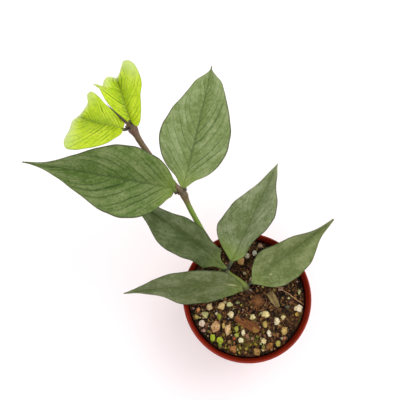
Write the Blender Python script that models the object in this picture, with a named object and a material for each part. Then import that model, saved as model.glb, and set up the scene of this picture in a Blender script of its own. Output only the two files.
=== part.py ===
"""A young hoya in a round red-brown plastic nursery pot.

Metres, +Z up.  The origin is the centre of the flat boss under the pot, on the
plane that the pot stands on.  The plant leans towards -X and +Y.
"""
import math

import bmesh
import bpy
from mathutils import Vector, noise
from mathutils.bvhtree import BVHTree

MM = 0.001

# pot
POT_HEIGHT = 70.0 * MM
RIM_RADIUS = 40.0 * MM
BASE_RADIUS = 28.0 * MM
WALL = 1.2 * MM
RIM_WIDTH = 2.5 * MM
COLLAR_HEIGHT = 8.0 * MM
COLLAR_STEP = 1.4 * MM
FLOOR_THICKNESS = 1.6 * MM
FLOOR_RISE = 1.5 * MM
FOOT_WIDTH = 4.0 * MM
BOSS_RADIUS = 10.0 * MM
EDGE_ROUND = 0.5 * MM
HOLE_RADIUS = 3.0 * MM
HOLE_CIRCLE = 17.5 * MM
HOLE_COUNT = 6
POT_SIDES = 72

# growing mix
RIM_DROP = 6.0 * MM
MIX_BUMP = 0.7 * MM
MIX_RINGS = 7
MIX_SIDES = 48

# fits
GAP = 0.35 * MM

# stem: nodes from the growing tip's side are measured from the mix surface
STEM_FOOT = (1.6 * MM, 2.4 * MM)
STEM_DEPTH = 15.0 * MM
STEM_RADIUS = 1.6 * MM
NODE_RADIUS = 2.3 * MM
SHOOT_RADIUS = 0.55 * MM
SHOOT_REACH = (-9.0 * MM, 5.0 * MM, 16.0 * MM)
STEM_BOW = (-1.8 * MM, -0.8 * MM, -1.5 * MM)
TIP_BOW = (-1.0 * MM, -1.0 * MM, -0.8 * MM)
STEM_SIDES = 10
NODES = {
    "lower": (-0.2 * MM, 5.0 * MM, 8.0 * MM),
    "middle": (-10.7 * MM, 14.7 * MM, 22.0 * MM),
    "upper": (-37.2 * MM, 55.9 * MM, 46.0 * MM),
    "young": (-65.7 * MM, 88.4 * MM, 66.0 * MM),
}

# leaves: lengths in metres, angles in degrees.  bank rolls the blade about its midrib, fold lifts its
# halves, drip draws in the tip, and ripple is (share of width, beats, start, lag of the right edge)
LEAF_SIDES = 12
PETIOLE_RADIUS = 1.1 * MM
BLADE_THICKNESS = 1.0 * MM
DRIP_SPOT = 0.83
DRIP_SPREAD = 0.13
BLADE_STATIONS = (0.03, 0.08, 0.15, 0.23, 0.32, 0.41, 0.50, 0.59, 0.68, 0.76, 0.84, 0.91, 0.96)
LEAVES = {
    "leaf_lower_left": dict(
        node="lower", length=76 * MM, width=30 * MM, petiole=5.2 * MM, heading=181,
        climb=34, droop=67, sweep=4, bank=52, twist=11.5, fold=(7, 0.5), rise=0.79, fall=1.45,
        skew=1.5, wave=0.04, drip=0.14, ripple=(0.06, 2.0, 0.21, -0.34)),
    "leaf_lower_right": dict(
        node="lower", length=62 * MM, width=31 * MM, petiole=5.5 * MM, heading=36,
        climb=16, droop=-3.5, sweep=-1, bank=-31, twist=-21.5, fold=(11, 25.5), rise=0.75, fall=1.37,
        wave=-0.06, phase=0.17, drip=0.1, ripple=(0.03, 2.0, -0.23, 0.3)),
    "leaf_middle_left": dict(
        node="middle", length=67 * MM, width=28.5 * MM, petiole=5.5 * MM, heading=146,
        climb=24.5, droop=34.5, bend=1.1, sweep=-3.5, bank=38, twist=20.5, fold=(13.5, 24.5),
        rise=0.79, fall=1.3, drip=0.04, ripple=(0.03, 2.4, 0.0, 0.4)),
    "leaf_middle_right": dict(
        node="middle", length=67.5 * MM, width=37.5 * MM, petiole=5 * MM, heading=63,
        climb=15.5, droop=24, sweep=1.5, bank=25.5, twist=23, fold=(18, 2), rise=0.74, fall=1.35,
        skew=1.5, drip=0.03, ripple=(0.03, 2.0, 0.0, 0.3)),
    "leaf_upper_left": dict(
        node="upper", length=84 * MM, width=42 * MM, petiole=5 * MM, heading=174,
        climb=25.5, droop=14.5, bend=0.8, bank=30.5, twist=31.5, fold=(17.5, 8.5), rise=0.75,
        fall=1.47, skew=-1.5, wave=0.16, phase=0.18, drip=0.22, ripple=(0.03, 2.0, 0.0, 0.28)),
    "leaf_upper_right": dict(
        node="upper", length=73.5 * MM, width=41.5 * MM, petiole=5 * MM, heading=72,
        climb=24.5, droop=33, bend=1.15, sweep=8.5, bank=-11.5, twist=19, fold=(11, 11), rise=0.8,
        fall=1.44, skew=4.5, wave=-0.05, drip=-0.05),
    "young_leaf_left": dict(
        node="young", length=42 * MM, width=32 * MM, petiole=3.5 * MM, heading=196,
        climb=33.5, droop=122, bend=1.6, sweep=-22, bank=-2.5, twist=-3.5, fold=(20, 6), rise=0.71,
        fall=1.09, ripple=(0.03, 2.4, 0.12, 0.28), blade=0.7 * MM),
    "young_leaf_right": dict(
        node="young", length=49 * MM, width=27 * MM, petiole=3.5 * MM, heading=98,
        climb=31, droop=134, bend=1.35, sweep=38, bank=-11, twist=20, fold=(49.5, 8), rise=0.7,
        fall=1.2, skew=-2.5, curl=-0.18, blade=0.7 * MM),
}

# pumice grains: place as a share of the mix radius, half sizes in metres, turn in degrees
GRAIN_SINK = 0.15
GRAIN_ROUGH = 0.07
GRAINS = {
    "grain_buff": (-0.64, -0.18, 2.2 * MM, 2.4 * MM, 10),
    "grain_ringed": (-0.44, -0.17, 2.4 * MM, 2.6 * MM, 0),
    "grain_sage": (-0.29, -0.14, 2.0 * MM, 1.6 * MM, 0),
    "grain_orange_small": (-0.84, -0.24, 1.3 * MM, 1.8 * MM, 0),
    "grain_olive_small": (-0.87, -0.35, 1.6 * MM, 1.9 * MM, 20),
    "grain_grey_green": (-0.72, -0.32, 2.3 * MM, 2.3 * MM, 0),
    "grain_blush": (-0.77, -0.46, 2.3 * MM, 2.1 * MM, 0),
    "grain_rose_small": (-0.76, -0.57, 1.6 * MM, 1.3 * MM, 0),
    "grain_cream_left": (-0.26, -0.32, 2.4 * MM, 2.3 * MM, 0),
    "grain_moss": (-0.47, -0.34, 1.6 * MM, 2.4 * MM, 0),
    "grain_peach_large": (-0.54, -0.52, 2.7 * MM, 3.8 * MM, -35),
    "grain_tan_long": (-0.33, -0.55, 2.1 * MM, 4.2 * MM, 0),
    "grain_lime_left": (-0.59, -0.70, 1.5 * MM, 2.5 * MM, 10),
    "grain_lime_right": (-0.47, -0.73, 2.0 * MM, 2.4 * MM, 15),
    "grain_cream_centre": (0.08, -0.40, 2.0 * MM, 1.9 * MM, 0),
    "grain_pitted": (0.32, -0.32, 2.8 * MM, 2.6 * MM, 0),
    "grain_cream_right": (0.51, -0.42, 1.9 * MM, 2.2 * MM, 0),
    "grain_cream_small": (0.62, -0.36, 1.6 * MM, 1.7 * MM, 0),
    "grain_white_large": (0.88, -0.21, 2.8 * MM, 2.3 * MM, -10),
    "grain_tan_olive": (0.30, -0.47, 1.6 * MM, 2.1 * MM, 0),
    "grain_white_front": (0.37, -0.62, 2.0 * MM, 2.4 * MM, 0),
    "grain_straw_long": (0.62, -0.58, 2.1 * MM, 2.8 * MM, 15),
    "grain_brown_small": (0.50, -0.65, 1.6 * MM, 1.6 * MM, 0),
    "grain_cream_front": (0.28, -0.75, 1.8 * MM, 1.8 * MM, 0),
    "grain_amber": (0.39, -0.82, 2.0 * MM, 2.1 * MM, 0),
    "grain_olive_front": (0.51, -0.78, 1.6 * MM, 1.8 * MM, 0),
    "grain_rust_small": (0.61, -0.72, 1.9 * MM, 1.5 * MM, 0),
    "grain_green_centre": (-0.18, -0.55, 1.5 * MM, 1.9 * MM, 0),
    "grain_cream_narrow": (-0.07, -0.61, 1.4 * MM, 1.8 * MM, 0),
    "grain_ivory": (-0.11, -0.73, 1.9 * MM, 1.4 * MM, 0),
    "grain_porous": (-0.24, -0.88, 2.7 * MM, 2.3 * MM, 0),
    "grain_ochre": (0.15, -0.91, 2.3 * MM, 2.3 * MM, 0),
    "grain_by_stem": (0.15, 0.24, 2.1 * MM, 2.2 * MM, 0),
    "grain_back_large": (-0.08, 0.62, 2.5 * MM, 2.8 * MM, 0),
    "grain_back_grey": (0.04, 0.71, 1.7 * MM, 1.9 * MM, 0),
    "grain_back_white": (0.17, 0.75, 1.5 * MM, 1.8 * MM, 0),
    "grain_back_pink": (0.29, 0.90, 2.0 * MM, 1.9 * MM, 0),
}

# loose litter on the mix
BARK_LENGTH = 17.0 * MM
BARK_WIDTH = 5.0 * MM
BARK_THICKNESS = 2.0 * MM
BARK_PLACE = (0.0, -0.47)
BARK_TURN = -26.0
CLUMP_SIZE = (3.9 * MM, 3.6 * MM, 2.4 * MM)
CLUMP_PLACE = (0.19, -0.09)
STRIP_LENGTH = 11.0 * MM
STRIP_WIDTH = 4.4 * MM
STRIP_THICKNESS = 0.8 * MM
STRIP_PLACE = (0.45, -0.02)
STRIP_TURN = -62.0
FIBRE_RADIUS = 0.3 * MM
FIBRE_LIFT = 1.6 * MM
FIBRE_RUN = ((0.56, 0.12), (0.70, 0.06), (0.83, -0.05), (0.955, -0.13))
CURL_RADIUS = 0.18 * MM
CURL_LOOP = 2.6 * MM
CURL_ANGLE = 60.0

MATERIALS = {
    "pot": ("#9B3226", 0.42),
    "growing_mix": ("#3A2A20", 0.95),
    "stem": ("#64752F", 0.5),
    "leaf": ("#5B6E42", 0.55),
    "young": ("#A9CF2C", 0.45),
    "grain": ("#CDB07A", 0.9),
    "lime": ("#A9B82E", 0.9),
    "rust": ("#A9683A", 0.9),
    "bark": ("#6E3B26", 0.85),
    "fibre": ("#B08A5C", 0.8),
}


def linear(value):
    return value / 12.92 if value <= 0.04045 else ((value + 0.055) / 1.055) ** 2.4


def material(name):
    """A plain Principled material in the named sRGB colour."""
    made = bpy.data.materials.get(name)
    if made:
        return made
    code, roughness = MATERIALS[name]
    made = bpy.data.materials.new(name)
    made.use_nodes = True
    shader = made.node_tree.nodes["Principled BSDF"]
    rgb = [linear(int(code[i:i + 2], 16) / 255) for i in (1, 3, 5)]
    shader.inputs["Base Color"].default_value = (*rgb, 1)
    shader.inputs["Roughness"].default_value = roughness
    shader.inputs["Metallic"].default_value = 0.0
    return made


def add_object(name, bm, looks, smooth=True):
    """Turn a bmesh into a named object with outward faces."""
    bmesh.ops.recalc_face_normals(bm, faces=bm.faces)
    mesh = bpy.data.meshes.new(name)
    bm.to_mesh(mesh)
    bm.free()
    if looks:
        mesh.materials.append(material(looks))
    if smooth:
        mesh.shade_smooth()
        mesh.set_sharp_from_angle(angle=math.radians(40))
    obj = bpy.data.objects.new(name, mesh)
    bpy.context.scene.collection.objects.link(obj)
    return obj


def as_cutter(obj, group):
    """Keep an object as a guide for a cut only."""
    obj.hide_render = True
    obj.display_type = 'WIRE'
    bpy.context.scene.collection.objects.unlink(obj)
    group.objects.link(obj)


def cut(obj, group):
    mod = obj.modifiers.new("cut", 'BOOLEAN')
    mod.operation = 'DIFFERENCE'
    mod.solver = 'EXACT'
    mod.operand_type = 'COLLECTION'
    mod.collection = group


def new_group(name):
    group = bpy.data.collections.new(name)
    bpy.context.scene.collection.children.link(group)
    return group


def turned(profile, sides):
    """Spin a closed (radius, height) profile about +Z."""
    bm = bmesh.new()
    verts = [bm.verts.new((r, 0, z)) for r, z in profile]
    edges = [bm.edges.new((verts[i], verts[i + 1])) for i in range(len(verts) - 1)]
    if profile[0][0] > 0:
        edges.append(bm.edges.new((verts[-1], verts[0])))
    bmesh.ops.spin(bm, geom=verts + edges, cent=(0, 0, 0), axis=(0, 0, 1),
                   angle=2 * math.pi, steps=sides, use_merge=True)
    bmesh.ops.remove_doubles(bm, verts=bm.verts, dist=0.00002)
    return bm


def rings_to_bm(rings, tip=None):
    """Loft closed rings of points; a flat cap closes the start, a tip or a cap the end."""
    bm = bmesh.new()
    made = [[bm.verts.new(p) for p in ring] for ring in rings]
    count = len(made[0])
    for low, high in zip(made, made[1:]):
        for k in range(count):
            n = (k + 1) % count
            bm.faces.new((low[k], low[n], high[n], high[k]))
    bm.faces.new(list(reversed(made[0])))
    if tip is None:
        bm.faces.new(made[-1])
    else:
        point = bm.verts.new(tip)
        for k in range(count):
            bm.faces.new((made[-1][k], made[-1][(k + 1) % count], point))
    return bm


# ---- pot

COLLAR_FOOT = POT_HEIGHT - COLLAR_HEIGHT
COLLAR_RADIUS = RIM_RADIUS - 0.8 * MM
WALL_TOP_RADIUS = COLLAR_RADIUS - COLLAR_STEP
FLOOR_TOP = FLOOR_RISE + FLOOR_THICKNESS
RIM_INNER = RIM_RADIUS - RIM_WIDTH


def outer_radius(z):
    """Outside of the tapered wall below the collar."""
    return BASE_RADIUS + (WALL_TOP_RADIUS - BASE_RADIUS) * z / COLLAR_FOOT


def inner_radius(z):
    """Inside of the wall, straight from the floor to the collar and on to the rim."""
    if z <= COLLAR_FOOT:
        return outer_radius(z) - WALL
    start = WALL_TOP_RADIUS - WALL
    share = (z - COLLAR_FOOT) / (COLLAR_HEIGHT - EDGE_ROUND)
    return start + (RIM_INNER - start) * min(share, 1.0)


def make_pot():
    step = 0.5 * MM
    profile = [
        (0, 0),
        (BOSS_RADIUS, 0),
        (BOSS_RADIUS + step, FLOOR_RISE),
        (BASE_RADIUS - FOOT_WIDTH - step, FLOOR_RISE),
        (BASE_RADIUS - FOOT_WIDTH, 0),
        (BASE_RADIUS - EDGE_ROUND, 0),
        (outer_radius(EDGE_ROUND), EDGE_ROUND),
        (WALL_TOP_RADIUS, COLLAR_FOOT),
        (COLLAR_RADIUS, COLLAR_FOOT + step),
        (RIM_RADIUS, POT_HEIGHT - 2 * EDGE_ROUND),
        (RIM_RADIUS - EDGE_ROUND, POT_HEIGHT - EDGE_ROUND / 3),
        (RIM_RADIUS - 2 * EDGE_ROUND, POT_HEIGHT),
        (RIM_INNER + EDGE_ROUND, POT_HEIGHT),
        (RIM_INNER, POT_HEIGHT - EDGE_ROUND),
        (inner_radius(COLLAR_FOOT), COLLAR_FOOT),
        (inner_radius(FLOOR_TOP), FLOOR_TOP),
        (0, FLOOR_TOP),
    ]
    pot = add_object("pot", turned(profile, POT_SIDES), "pot")
    holes = new_group("drain_holes")
    for i in range(HOLE_COUNT):
        turn = 2 * math.pi * i / HOLE_COUNT
        bm = bmesh.new()
        bmesh.ops.create_cone(bm, cap_ends=True, segments=16, radius1=HOLE_RADIUS,
                              radius2=HOLE_RADIUS, depth=4 * FLOOR_TOP)
        hole = add_object(f"drain_hole_{i}", bm, None)
        hole.location = (HOLE_CIRCLE * math.cos(turn), HOLE_CIRCLE * math.sin(turn), 0)
        as_cutter(hole, holes)
    cut(pot, holes)


# ---- growing mix

MIX_TOP = POT_HEIGHT - RIM_DROP
MIX_BOTTOM = FLOOR_TOP + GAP
MIX_RADIUS = inner_radius(MIX_TOP) - GAP


def mix_height(x, y):
    """Lumpy top of the mix, lowest at the wall."""
    swell = noise.noise(Vector((x, y, 0)) / (9 * MM)) * MIX_BUMP
    return MIX_TOP + swell


def make_mix(group):
    bm = bmesh.new()
    rings = []
    for i in range(1, MIX_RINGS + 1):
        ring = []
        for k in range(MIX_SIDES):
            turn = 2 * math.pi * k / MIX_SIDES
            r = (MIX_RADIUS - MIX_BUMP / 4) * i / MIX_RINGS
            x, y = r * math.cos(turn), r * math.sin(turn)
            ring.append(bm.verts.new((x, y, mix_height(x, y))))
        rings.append(ring)
    # the side follows the pot's wall down to the floor at the fitting gap
    for z in (COLLAR_FOOT, MIX_BOTTOM):
        r = inner_radius(z) - GAP
        rings.append([bm.verts.new((r * math.cos(2 * math.pi * k / MIX_SIDES),
                                    r * math.sin(2 * math.pi * k / MIX_SIDES), z))
                      for k in range(MIX_SIDES)])
    crown = bm.verts.new((0, 0, mix_height(0, 0)))
    for k in range(MIX_SIDES):
        bm.faces.new((crown, rings[0][k], rings[0][(k + 1) % MIX_SIDES]))
    for low, high in zip(rings, rings[1:]):
        for k in range(MIX_SIDES):
            n = (k + 1) % MIX_SIDES
            bm.faces.new((low[k], high[k], high[n], low[n]))
    bm.faces.new(rings[-1])
    mix = add_object("growing_mix", bm, "growing_mix")
    cut(mix, group)


# ---- stem

def stem_points():
    """Centre line of the stem as (point, radius), from the buried end to the shoot's tip."""
    foot = Vector((*STEM_FOOT, MIX_TOP))
    nodes = {k: Vector((x, y, MIX_TOP + z)) for k, (x, y, z) in NODES.items()}
    slim = STEM_RADIUS
    low, mid, top, tip = (nodes[k] for k in ("lower", "middle", "upper", "young"))
    sag = Vector((0, 0, -1.5 * MM))
    bow = Vector(STEM_BOW)
    bow_tip = Vector(TIP_BOW)
    return [
        (foot + Vector((1.5 * MM, -1.5 * MM, -STEM_DEPTH)), slim),
        (foot + Vector((0.5 * MM, -0.5 * MM, -STEM_DEPTH / 2)), slim),
        (foot, slim),
        (foot.lerp(low, 0.6), slim),
        (low, NODE_RADIUS),
        (low.lerp(mid, 0.35), slim),
        (low.lerp(mid, 0.75), slim),
        (mid, NODE_RADIUS),
        (mid.lerp(top, 0.12) + bow * 0.4, slim),
        (mid.lerp(top, 0.45) + bow, slim),
        (mid.lerp(top, 0.85) + bow * 0.5, slim),
        (top, NODE_RADIUS),
        (top.lerp(tip, 0.12) + bow_tip * 0.4, slim * 0.95),
        (top.lerp(tip, 0.5) + bow_tip, slim * 0.9),
        (top.lerp(tip, 0.88) + bow_tip * 0.4, slim * 0.95),
        (tip, NODE_RADIUS * 0.85),
        (tip + Vector(SHOOT_REACH) * 0.18, SHOOT_RADIUS * 1.6),
        (tip + Vector(SHOOT_REACH) * 0.55 + sag * 0.5, SHOOT_RADIUS * 1.1),
    ], tip + Vector(SHOOT_REACH)


def smooth_line(points, parts):
    """Catmull-Rom line through (point, radius) pairs."""
    line = []
    last = len(points) - 1
    for i in range(last):
        a, b, c, d = (points[min(max(j, 0), last)] for j in (i - 1, i, i + 1, i + 2))
        for s in range(parts):
            t = s / parts
            spot = 0.5 * (2 * b[0] + (c[0] - a[0]) * t
                          + (2 * a[0] - 5 * b[0] + 4 * c[0] - d[0]) * t * t
                          + (3 * b[0] - a[0] - 3 * c[0] + d[0]) * t ** 3)
            line.append((spot, b[1] + (c[1] - b[1]) * t * t * (3 - 2 * t)))
    line.append(points[-1])
    return line


def tube_rings(line, sides):
    """Rings along a line of (point, radius), turned by parallel transport."""
    rings = []
    side = Vector((1, 0, 0))
    for i, (spot, radius) in enumerate(line):
        ahead = line[min(i + 1, len(line) - 1)][0] - line[max(i - 1, 0)][0]
        ahead.normalize()
        side = (side - ahead * side.dot(ahead)).normalized()
        up = ahead.cross(side)
        rings.append([spot + (side * math.cos(2 * math.pi * k / sides)
                              + up * math.sin(2 * math.pi * k / sides)) * radius
                      for k in range(sides)])
    return rings


def make_stem(group):
    points, tip = stem_points()
    line = smooth_line(points, 2)
    stem = add_object("stem", rings_to_bm(tube_rings(line, STEM_SIDES), tip), "stem")
    buried = [(p, r + GAP) for p, r in line if p.z < MIX_TOP + 4 * MM]
    buried[0] = (buried[0][0] - Vector((0, 0, GAP)), buried[0][1])
    hole = add_object("stem_hole", rings_to_bm(tube_rings(buried, STEM_SIDES)), None)
    as_cutter(hole, group)
    return stem


# ---- leaves

def leaf_frame(leaf, t):
    """Forward, across and face directions at share t of the blade."""
    bend = leaf.get("bend", 1.0)
    psi = math.radians(leaf["heading"] + leaf.get("sweep", 0) * t)
    theta = math.radians(leaf["climb"] - leaf["droop"] * t ** bend)
    ahead = Vector((math.cos(theta) * math.cos(psi), math.cos(theta) * math.sin(psi), math.sin(theta)))
    level = Vector((math.sin(psi), -math.cos(psi), 0))
    face = level.cross(ahead)
    roll = math.radians(leaf["bank"] + leaf["twist"] * t)
    across = level * math.cos(roll) + face * math.sin(roll)
    return ahead, across, face * math.cos(roll) - level * math.sin(roll)


def leaf_half(leaf, t):
    """Half width of the blade at share t of its length, before the ripple of its edges."""
    peak = leaf["rise"] / (leaf["rise"] + leaf["fall"])
    full = (t / peak) ** leaf["rise"] * ((1 - t) / (1 - peak)) ** leaf["fall"]
    drawn = 1 - leaf.get("drip", 0) * math.exp(-((t - DRIP_SPOT) / DRIP_SPREAD) ** 2)
    return leaf["width"] / 2 * full * drawn


def leaf_ring(leaf, t, centre, half):
    """One closed section of a leaf: 12 points round the blade, or round the stalk."""
    amount, beats, start, lag = leaf.get("ripple", (0, 0, 0, 0))
    _, across, face = leaf_frame(leaf, t)
    fold = leaf["fold"]
    bulk = max(leaf.get("blade", BLADE_THICKNESS) / 2, PETIOLE_RADIUS * max(0.0, 1 - t / 0.08))
    ring = []
    for k in range(LEAF_SIDES):
        turn = 2 * math.pi * k / LEAF_SIDES
        share = math.cos(turn)
        side = 1 if share > 0.001 else -1 if share < -0.001 else 0
        out = abs(share)
        angle = math.radians(fold[0] + (fold[1] - fold[0]) * t + leaf.get("skew", 0) * side)
        wide = half * (1 + amount * math.sin(2 * math.pi * (beats * t + start + (lag if side > 0 else 0))))
        beat = math.sin(2 * math.pi * (t + leaf.get("phase", 0) + 0.25 * side))
        lift = out * wide * math.sin(angle)
        lift += (leaf.get("wave", 0) * beat - leaf.get("curl", 0)) * wide * out * out
        ring.append(centre + across * (side * out * wide * math.cos(angle))
                    + face * (lift + bulk * math.sin(turn)))
    return ring


def make_leaf(name, leaf, stem_tree):
    node = Vector(NODES[leaf["node"]]) + Vector((0, 0, MIX_TOP))
    first = leaf_frame(leaf, 0)[0]
    # the stalk starts where its whole end clears the stem by the fitting gap
    start = STEM_RADIUS
    while True:
        end = leaf_ring(leaf, 0, node + first * start, PETIOLE_RADIUS)
        if min(stem_tree.find_nearest(p)[3] for p in end) > GAP and start > NODE_RADIUS:
            break
        start += 0.1 * MM
    length = leaf["length"]
    rings = [leaf_ring(leaf, 0, node + first * (start + (leaf["petiole"] - start) * s), PETIOLE_RADIUS)
             for s in ((0.0, 0.6) if start < leaf["petiole"] else (0.0,))]
    spot = node + first * max(leaf["petiole"], start)
    steps = 100
    stations = [round(t * steps) for t in BLADE_STATIONS]
    for i in range(1, steps + 1):
        spot = spot + leaf_frame(leaf, (i - 0.5) / steps)[0] * (length / steps)
        if i in stations:
            t = i / steps
            rings.append(leaf_ring(leaf, t, spot, max(leaf_half(leaf, t), PETIOLE_RADIUS * (1 - t))))
    add_object(name, rings_to_bm(rings, spot), "young" if "young" in name else "leaf")


# ---- grains and litter

def keep_clear():
    """Runs that the grains lie beside, as (start, end, half width): stem, chip, strip, clump."""
    def run(place, length, width, turn):
        mid = Vector((place[0], place[1])) * MIX_RADIUS
        half = Vector((math.cos(math.radians(turn)), math.sin(math.radians(turn))))
        half = half * max(length / 2 - width / 2, 0)
        return mid - half, mid + half, width / 2
    foot = Vector(STEM_FOOT)
    return [
        (foot, foot, NODE_RADIUS),
        run(BARK_PLACE, BARK_LENGTH, BARK_WIDTH, BARK_TURN),
        run(STRIP_PLACE, STRIP_LENGTH, STRIP_WIDTH, STRIP_TURN),
        run(CLUMP_PLACE, 0, 2 * CLUMP_SIZE[0] * (1 + GRAIN_ROUGH), 0),
    ]


def settle(grains):
    """Shoulder the grains apart and inside the wall, as loose grains lie."""
    spots = {n: [x * MIX_RADIUS, y * MIX_RADIUS] for n, (x, y, *_) in grains.items()}
    names = list(grains)
    apart = 2.4 * GAP

    def reach(name, ux, uy):
        _, _, a, b, turn = grains[name]
        c, s = math.cos(math.radians(turn)), math.sin(math.radians(turn))
        u, v = ux * c + uy * s, uy * c - ux * s
        return (1 + GRAIN_ROUGH) / math.hypot(u / a, v / b)

    for _ in range(300):
        for i, one in enumerate(names):
            for two in names[i + 1:]:
                dx, dy = spots[two][0] - spots[one][0], spots[two][1] - spots[one][1]
                far = math.hypot(dx, dy)
                ux, uy = dx / far, dy / far
                over = reach(one, ux, uy) + reach(two, ux, uy) + apart - far
                if over > 0:
                    spots[one] = [spots[one][0] - ux * over * 0.3, spots[one][1] - uy * over * 0.3]
                    spots[two] = [spots[two][0] + ux * over * 0.3, spots[two][1] + uy * over * 0.3]
        for name in names:
            x, y = spots[name]
            far = math.hypot(x, y)
            limit = MIX_RADIUS - GAP - max(grains[name][2:4]) * (1 + GRAIN_ROUGH)
            if far > limit:
                spots[name] = [x * limit / far, y * limit / far]
            for start, end, width in keep_clear():
                here, along = Vector(spots[name]), end - start
                share = 0.0 if along.length == 0 else (here - start).dot(along) / along.length_squared
                away = here - (start + along * min(max(share, 0.0), 1.0))
                ux, uy = away.normalized()
                over = reach(name, ux, uy) + width + apart - away.length
                if over > 0:
                    spots[name] = [here.x + ux * over, here.y + uy * over]
    return spots


def lump(name, place, half, turn, looks, group, seed):
    """A rough rounded lump sunk in the mix, with its dimple."""
    x, y = place
    high = min(half[:2]) if len(half) == 2 else half[2]
    size = Vector((half[0], half[1], high))
    centre = Vector((x, y, mix_height(x, y) + high * GRAIN_SINK))
    for grow in (0.0, 1.25 * GAP):
        bm = bmesh.new()
        bmesh.ops.create_icosphere(bm, subdivisions=2, radius=1.0)
        for vert in bm.verts:
            rough = noise.noise(vert.co * 1.3 + Vector((seed * 7.3, 0, 0))) * 2 * GRAIN_ROUGH
            rough = max(min(rough, GRAIN_ROUGH), -GRAIN_ROUGH)
            ahead = vert.co.copy()
            vert.co = Vector(a * b for a, b in zip(ahead, size)) * (1 + rough) + ahead * grow
        made = add_object(name if not grow else name + "_dimple", bm, None if grow else looks, False)
        made.location = centre
        made.rotation_euler = (0, 0, math.radians(turn))
        if grow:
            as_cutter(made, group)


def slab(name, place, size, turn, pitch, lift, looks, group):
    """A flat piece of litter lying in its own print in the mix."""
    x, y = place[0] * MIX_RADIUS, place[1] * MIX_RADIUS
    for grow in (0.0, 1.2 * GAP):
        bm = bmesh.new()
        bmesh.ops.create_cube(bm, size=1.0)
        cuts = [e for e in bm.edges if abs(e.verts[0].co.x - e.verts[1].co.x) > 0.5]
        bmesh.ops.subdivide_edges(bm, edges=cuts, cuts=2)
        for vert in bm.verts:
            end = 1 - 0.45 * (abs(vert.co.x) > 0.4)
            vert.co.y *= end
            vert.co = Vector((vert.co.x * (size[0] + 2 * grow), vert.co.y * (size[1] + 2 * grow / end),
                              vert.co.z * (size[2] + 2 * grow)))
        made = add_object(name if not grow else name + "_print", bm, None if grow else looks, False)
        made.location = (x, y, mix_height(x, y) + lift)
        made.rotation_euler = (0, math.radians(pitch), math.radians(turn))
        if grow:
            as_cutter(made, group)


def strand(name, points, radius, looks):
    """A thin fibre through its points, as a closed tube."""
    curve = bpy.data.curves.new(name, 'CURVE')
    curve.dimensions = '3D'
    curve.bevel_depth = radius
    curve.bevel_resolution = 1
    curve.use_fill_caps = True
    line = smooth_line([(p, radius) for p in points], 3)
    spline = curve.splines.new('POLY')
    spline.points.add(len(line) - 1)
    for point, (spot, _) in zip(spline.points, line):
        point.co = (*spot, 1)
    curve.materials.append(material(looks))
    obj = bpy.data.objects.new(name, curve)
    bpy.context.scene.collection.objects.link(obj)


def main():
    for obj in list(bpy.data.objects):
        bpy.data.objects.remove(obj)

    make_pot()
    prints = new_group("prints_in_mix")
    stem = make_stem(prints)
    stem_bm = bmesh.new()
    stem_bm.from_mesh(stem.data)
    tree = BVHTree.FromBMesh(stem_bm)
    for name, leaf in LEAVES.items():
        make_leaf(name, leaf, tree)
    stem_bm.free()

    spots = settle(GRAINS)
    for seed, (name, grain) in enumerate(GRAINS.items()):
        looks = "lime" if "lime" in name or "moss" in name else "rust" if "rust" in name else "grain"
        lump(name, spots[name], grain[2:4], grain[4], looks, prints, seed)
    clump = [share * MIX_RADIUS for share in CLUMP_PLACE]
    lump("coco_clump", clump, CLUMP_SIZE, 0, "rust", prints, 61)
    slab("bark_chip", BARK_PLACE, (BARK_LENGTH, BARK_WIDTH, BARK_THICKNESS), BARK_TURN, 2,
         0.3 * MM, "bark", prints)
    slab("bark_strip", STRIP_PLACE, (STRIP_LENGTH, STRIP_WIDTH, STRIP_THICKNESS), STRIP_TURN, -10,
         1.2 * MM, "bark", prints)
    make_mix(prints)

    run = []
    for i, (x, y) in enumerate(FIBRE_RUN):
        x, y = x * MIX_RADIUS, y * MIX_RADIUS
        hump = FIBRE_LIFT * math.sin(math.pi * i / (len(FIBRE_RUN) - 1)) * 0.6
        run.append(Vector((x, y, mix_height(x, y) + FIBRE_RADIUS + 2 * GAP + hump)))
    strand("fibre_strand", run, FIBRE_RADIUS, "fibre")
    turn = math.radians(CURL_ANGLE)
    foot = Vector((math.cos(turn), math.sin(turn), 0)) * (RIM_RADIUS - RIM_WIDTH / 2)
    foot.z = POT_HEIGHT + CURL_RADIUS + GAP
    along = Vector((-math.sin(turn), math.cos(turn), 0))
    loop = []
    for i in range(6):
        a = math.pi * i / 5
        loop.append(foot + along * (CURL_LOOP * math.cos(a)) + Vector((0, 0, CURL_LOOP * math.sin(a))))
    strand("fibre_curl", loop, CURL_RADIUS, "fibre")


main()
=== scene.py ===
import bpy
import bmesh
import math
import random
import numpy as np
from mathutils import Matrix, Vector, noise


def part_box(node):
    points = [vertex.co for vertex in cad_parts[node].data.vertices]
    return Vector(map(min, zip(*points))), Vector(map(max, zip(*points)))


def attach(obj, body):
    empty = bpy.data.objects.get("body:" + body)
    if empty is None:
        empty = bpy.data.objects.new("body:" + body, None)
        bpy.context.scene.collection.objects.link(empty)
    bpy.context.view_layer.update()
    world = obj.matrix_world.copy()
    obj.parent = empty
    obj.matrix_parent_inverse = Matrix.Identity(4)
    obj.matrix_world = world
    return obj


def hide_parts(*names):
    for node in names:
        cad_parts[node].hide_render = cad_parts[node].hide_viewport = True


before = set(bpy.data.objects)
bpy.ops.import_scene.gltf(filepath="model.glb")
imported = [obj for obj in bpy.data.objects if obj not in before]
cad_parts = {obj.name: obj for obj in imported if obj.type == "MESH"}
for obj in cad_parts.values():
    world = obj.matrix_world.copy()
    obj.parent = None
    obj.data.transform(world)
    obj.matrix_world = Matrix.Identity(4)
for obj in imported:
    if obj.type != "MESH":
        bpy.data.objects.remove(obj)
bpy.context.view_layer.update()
mm = 0.001
fullTurn, halfTurn = 6.28, 3.14                   # radians, near enough for the turn of a loose bit
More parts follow.
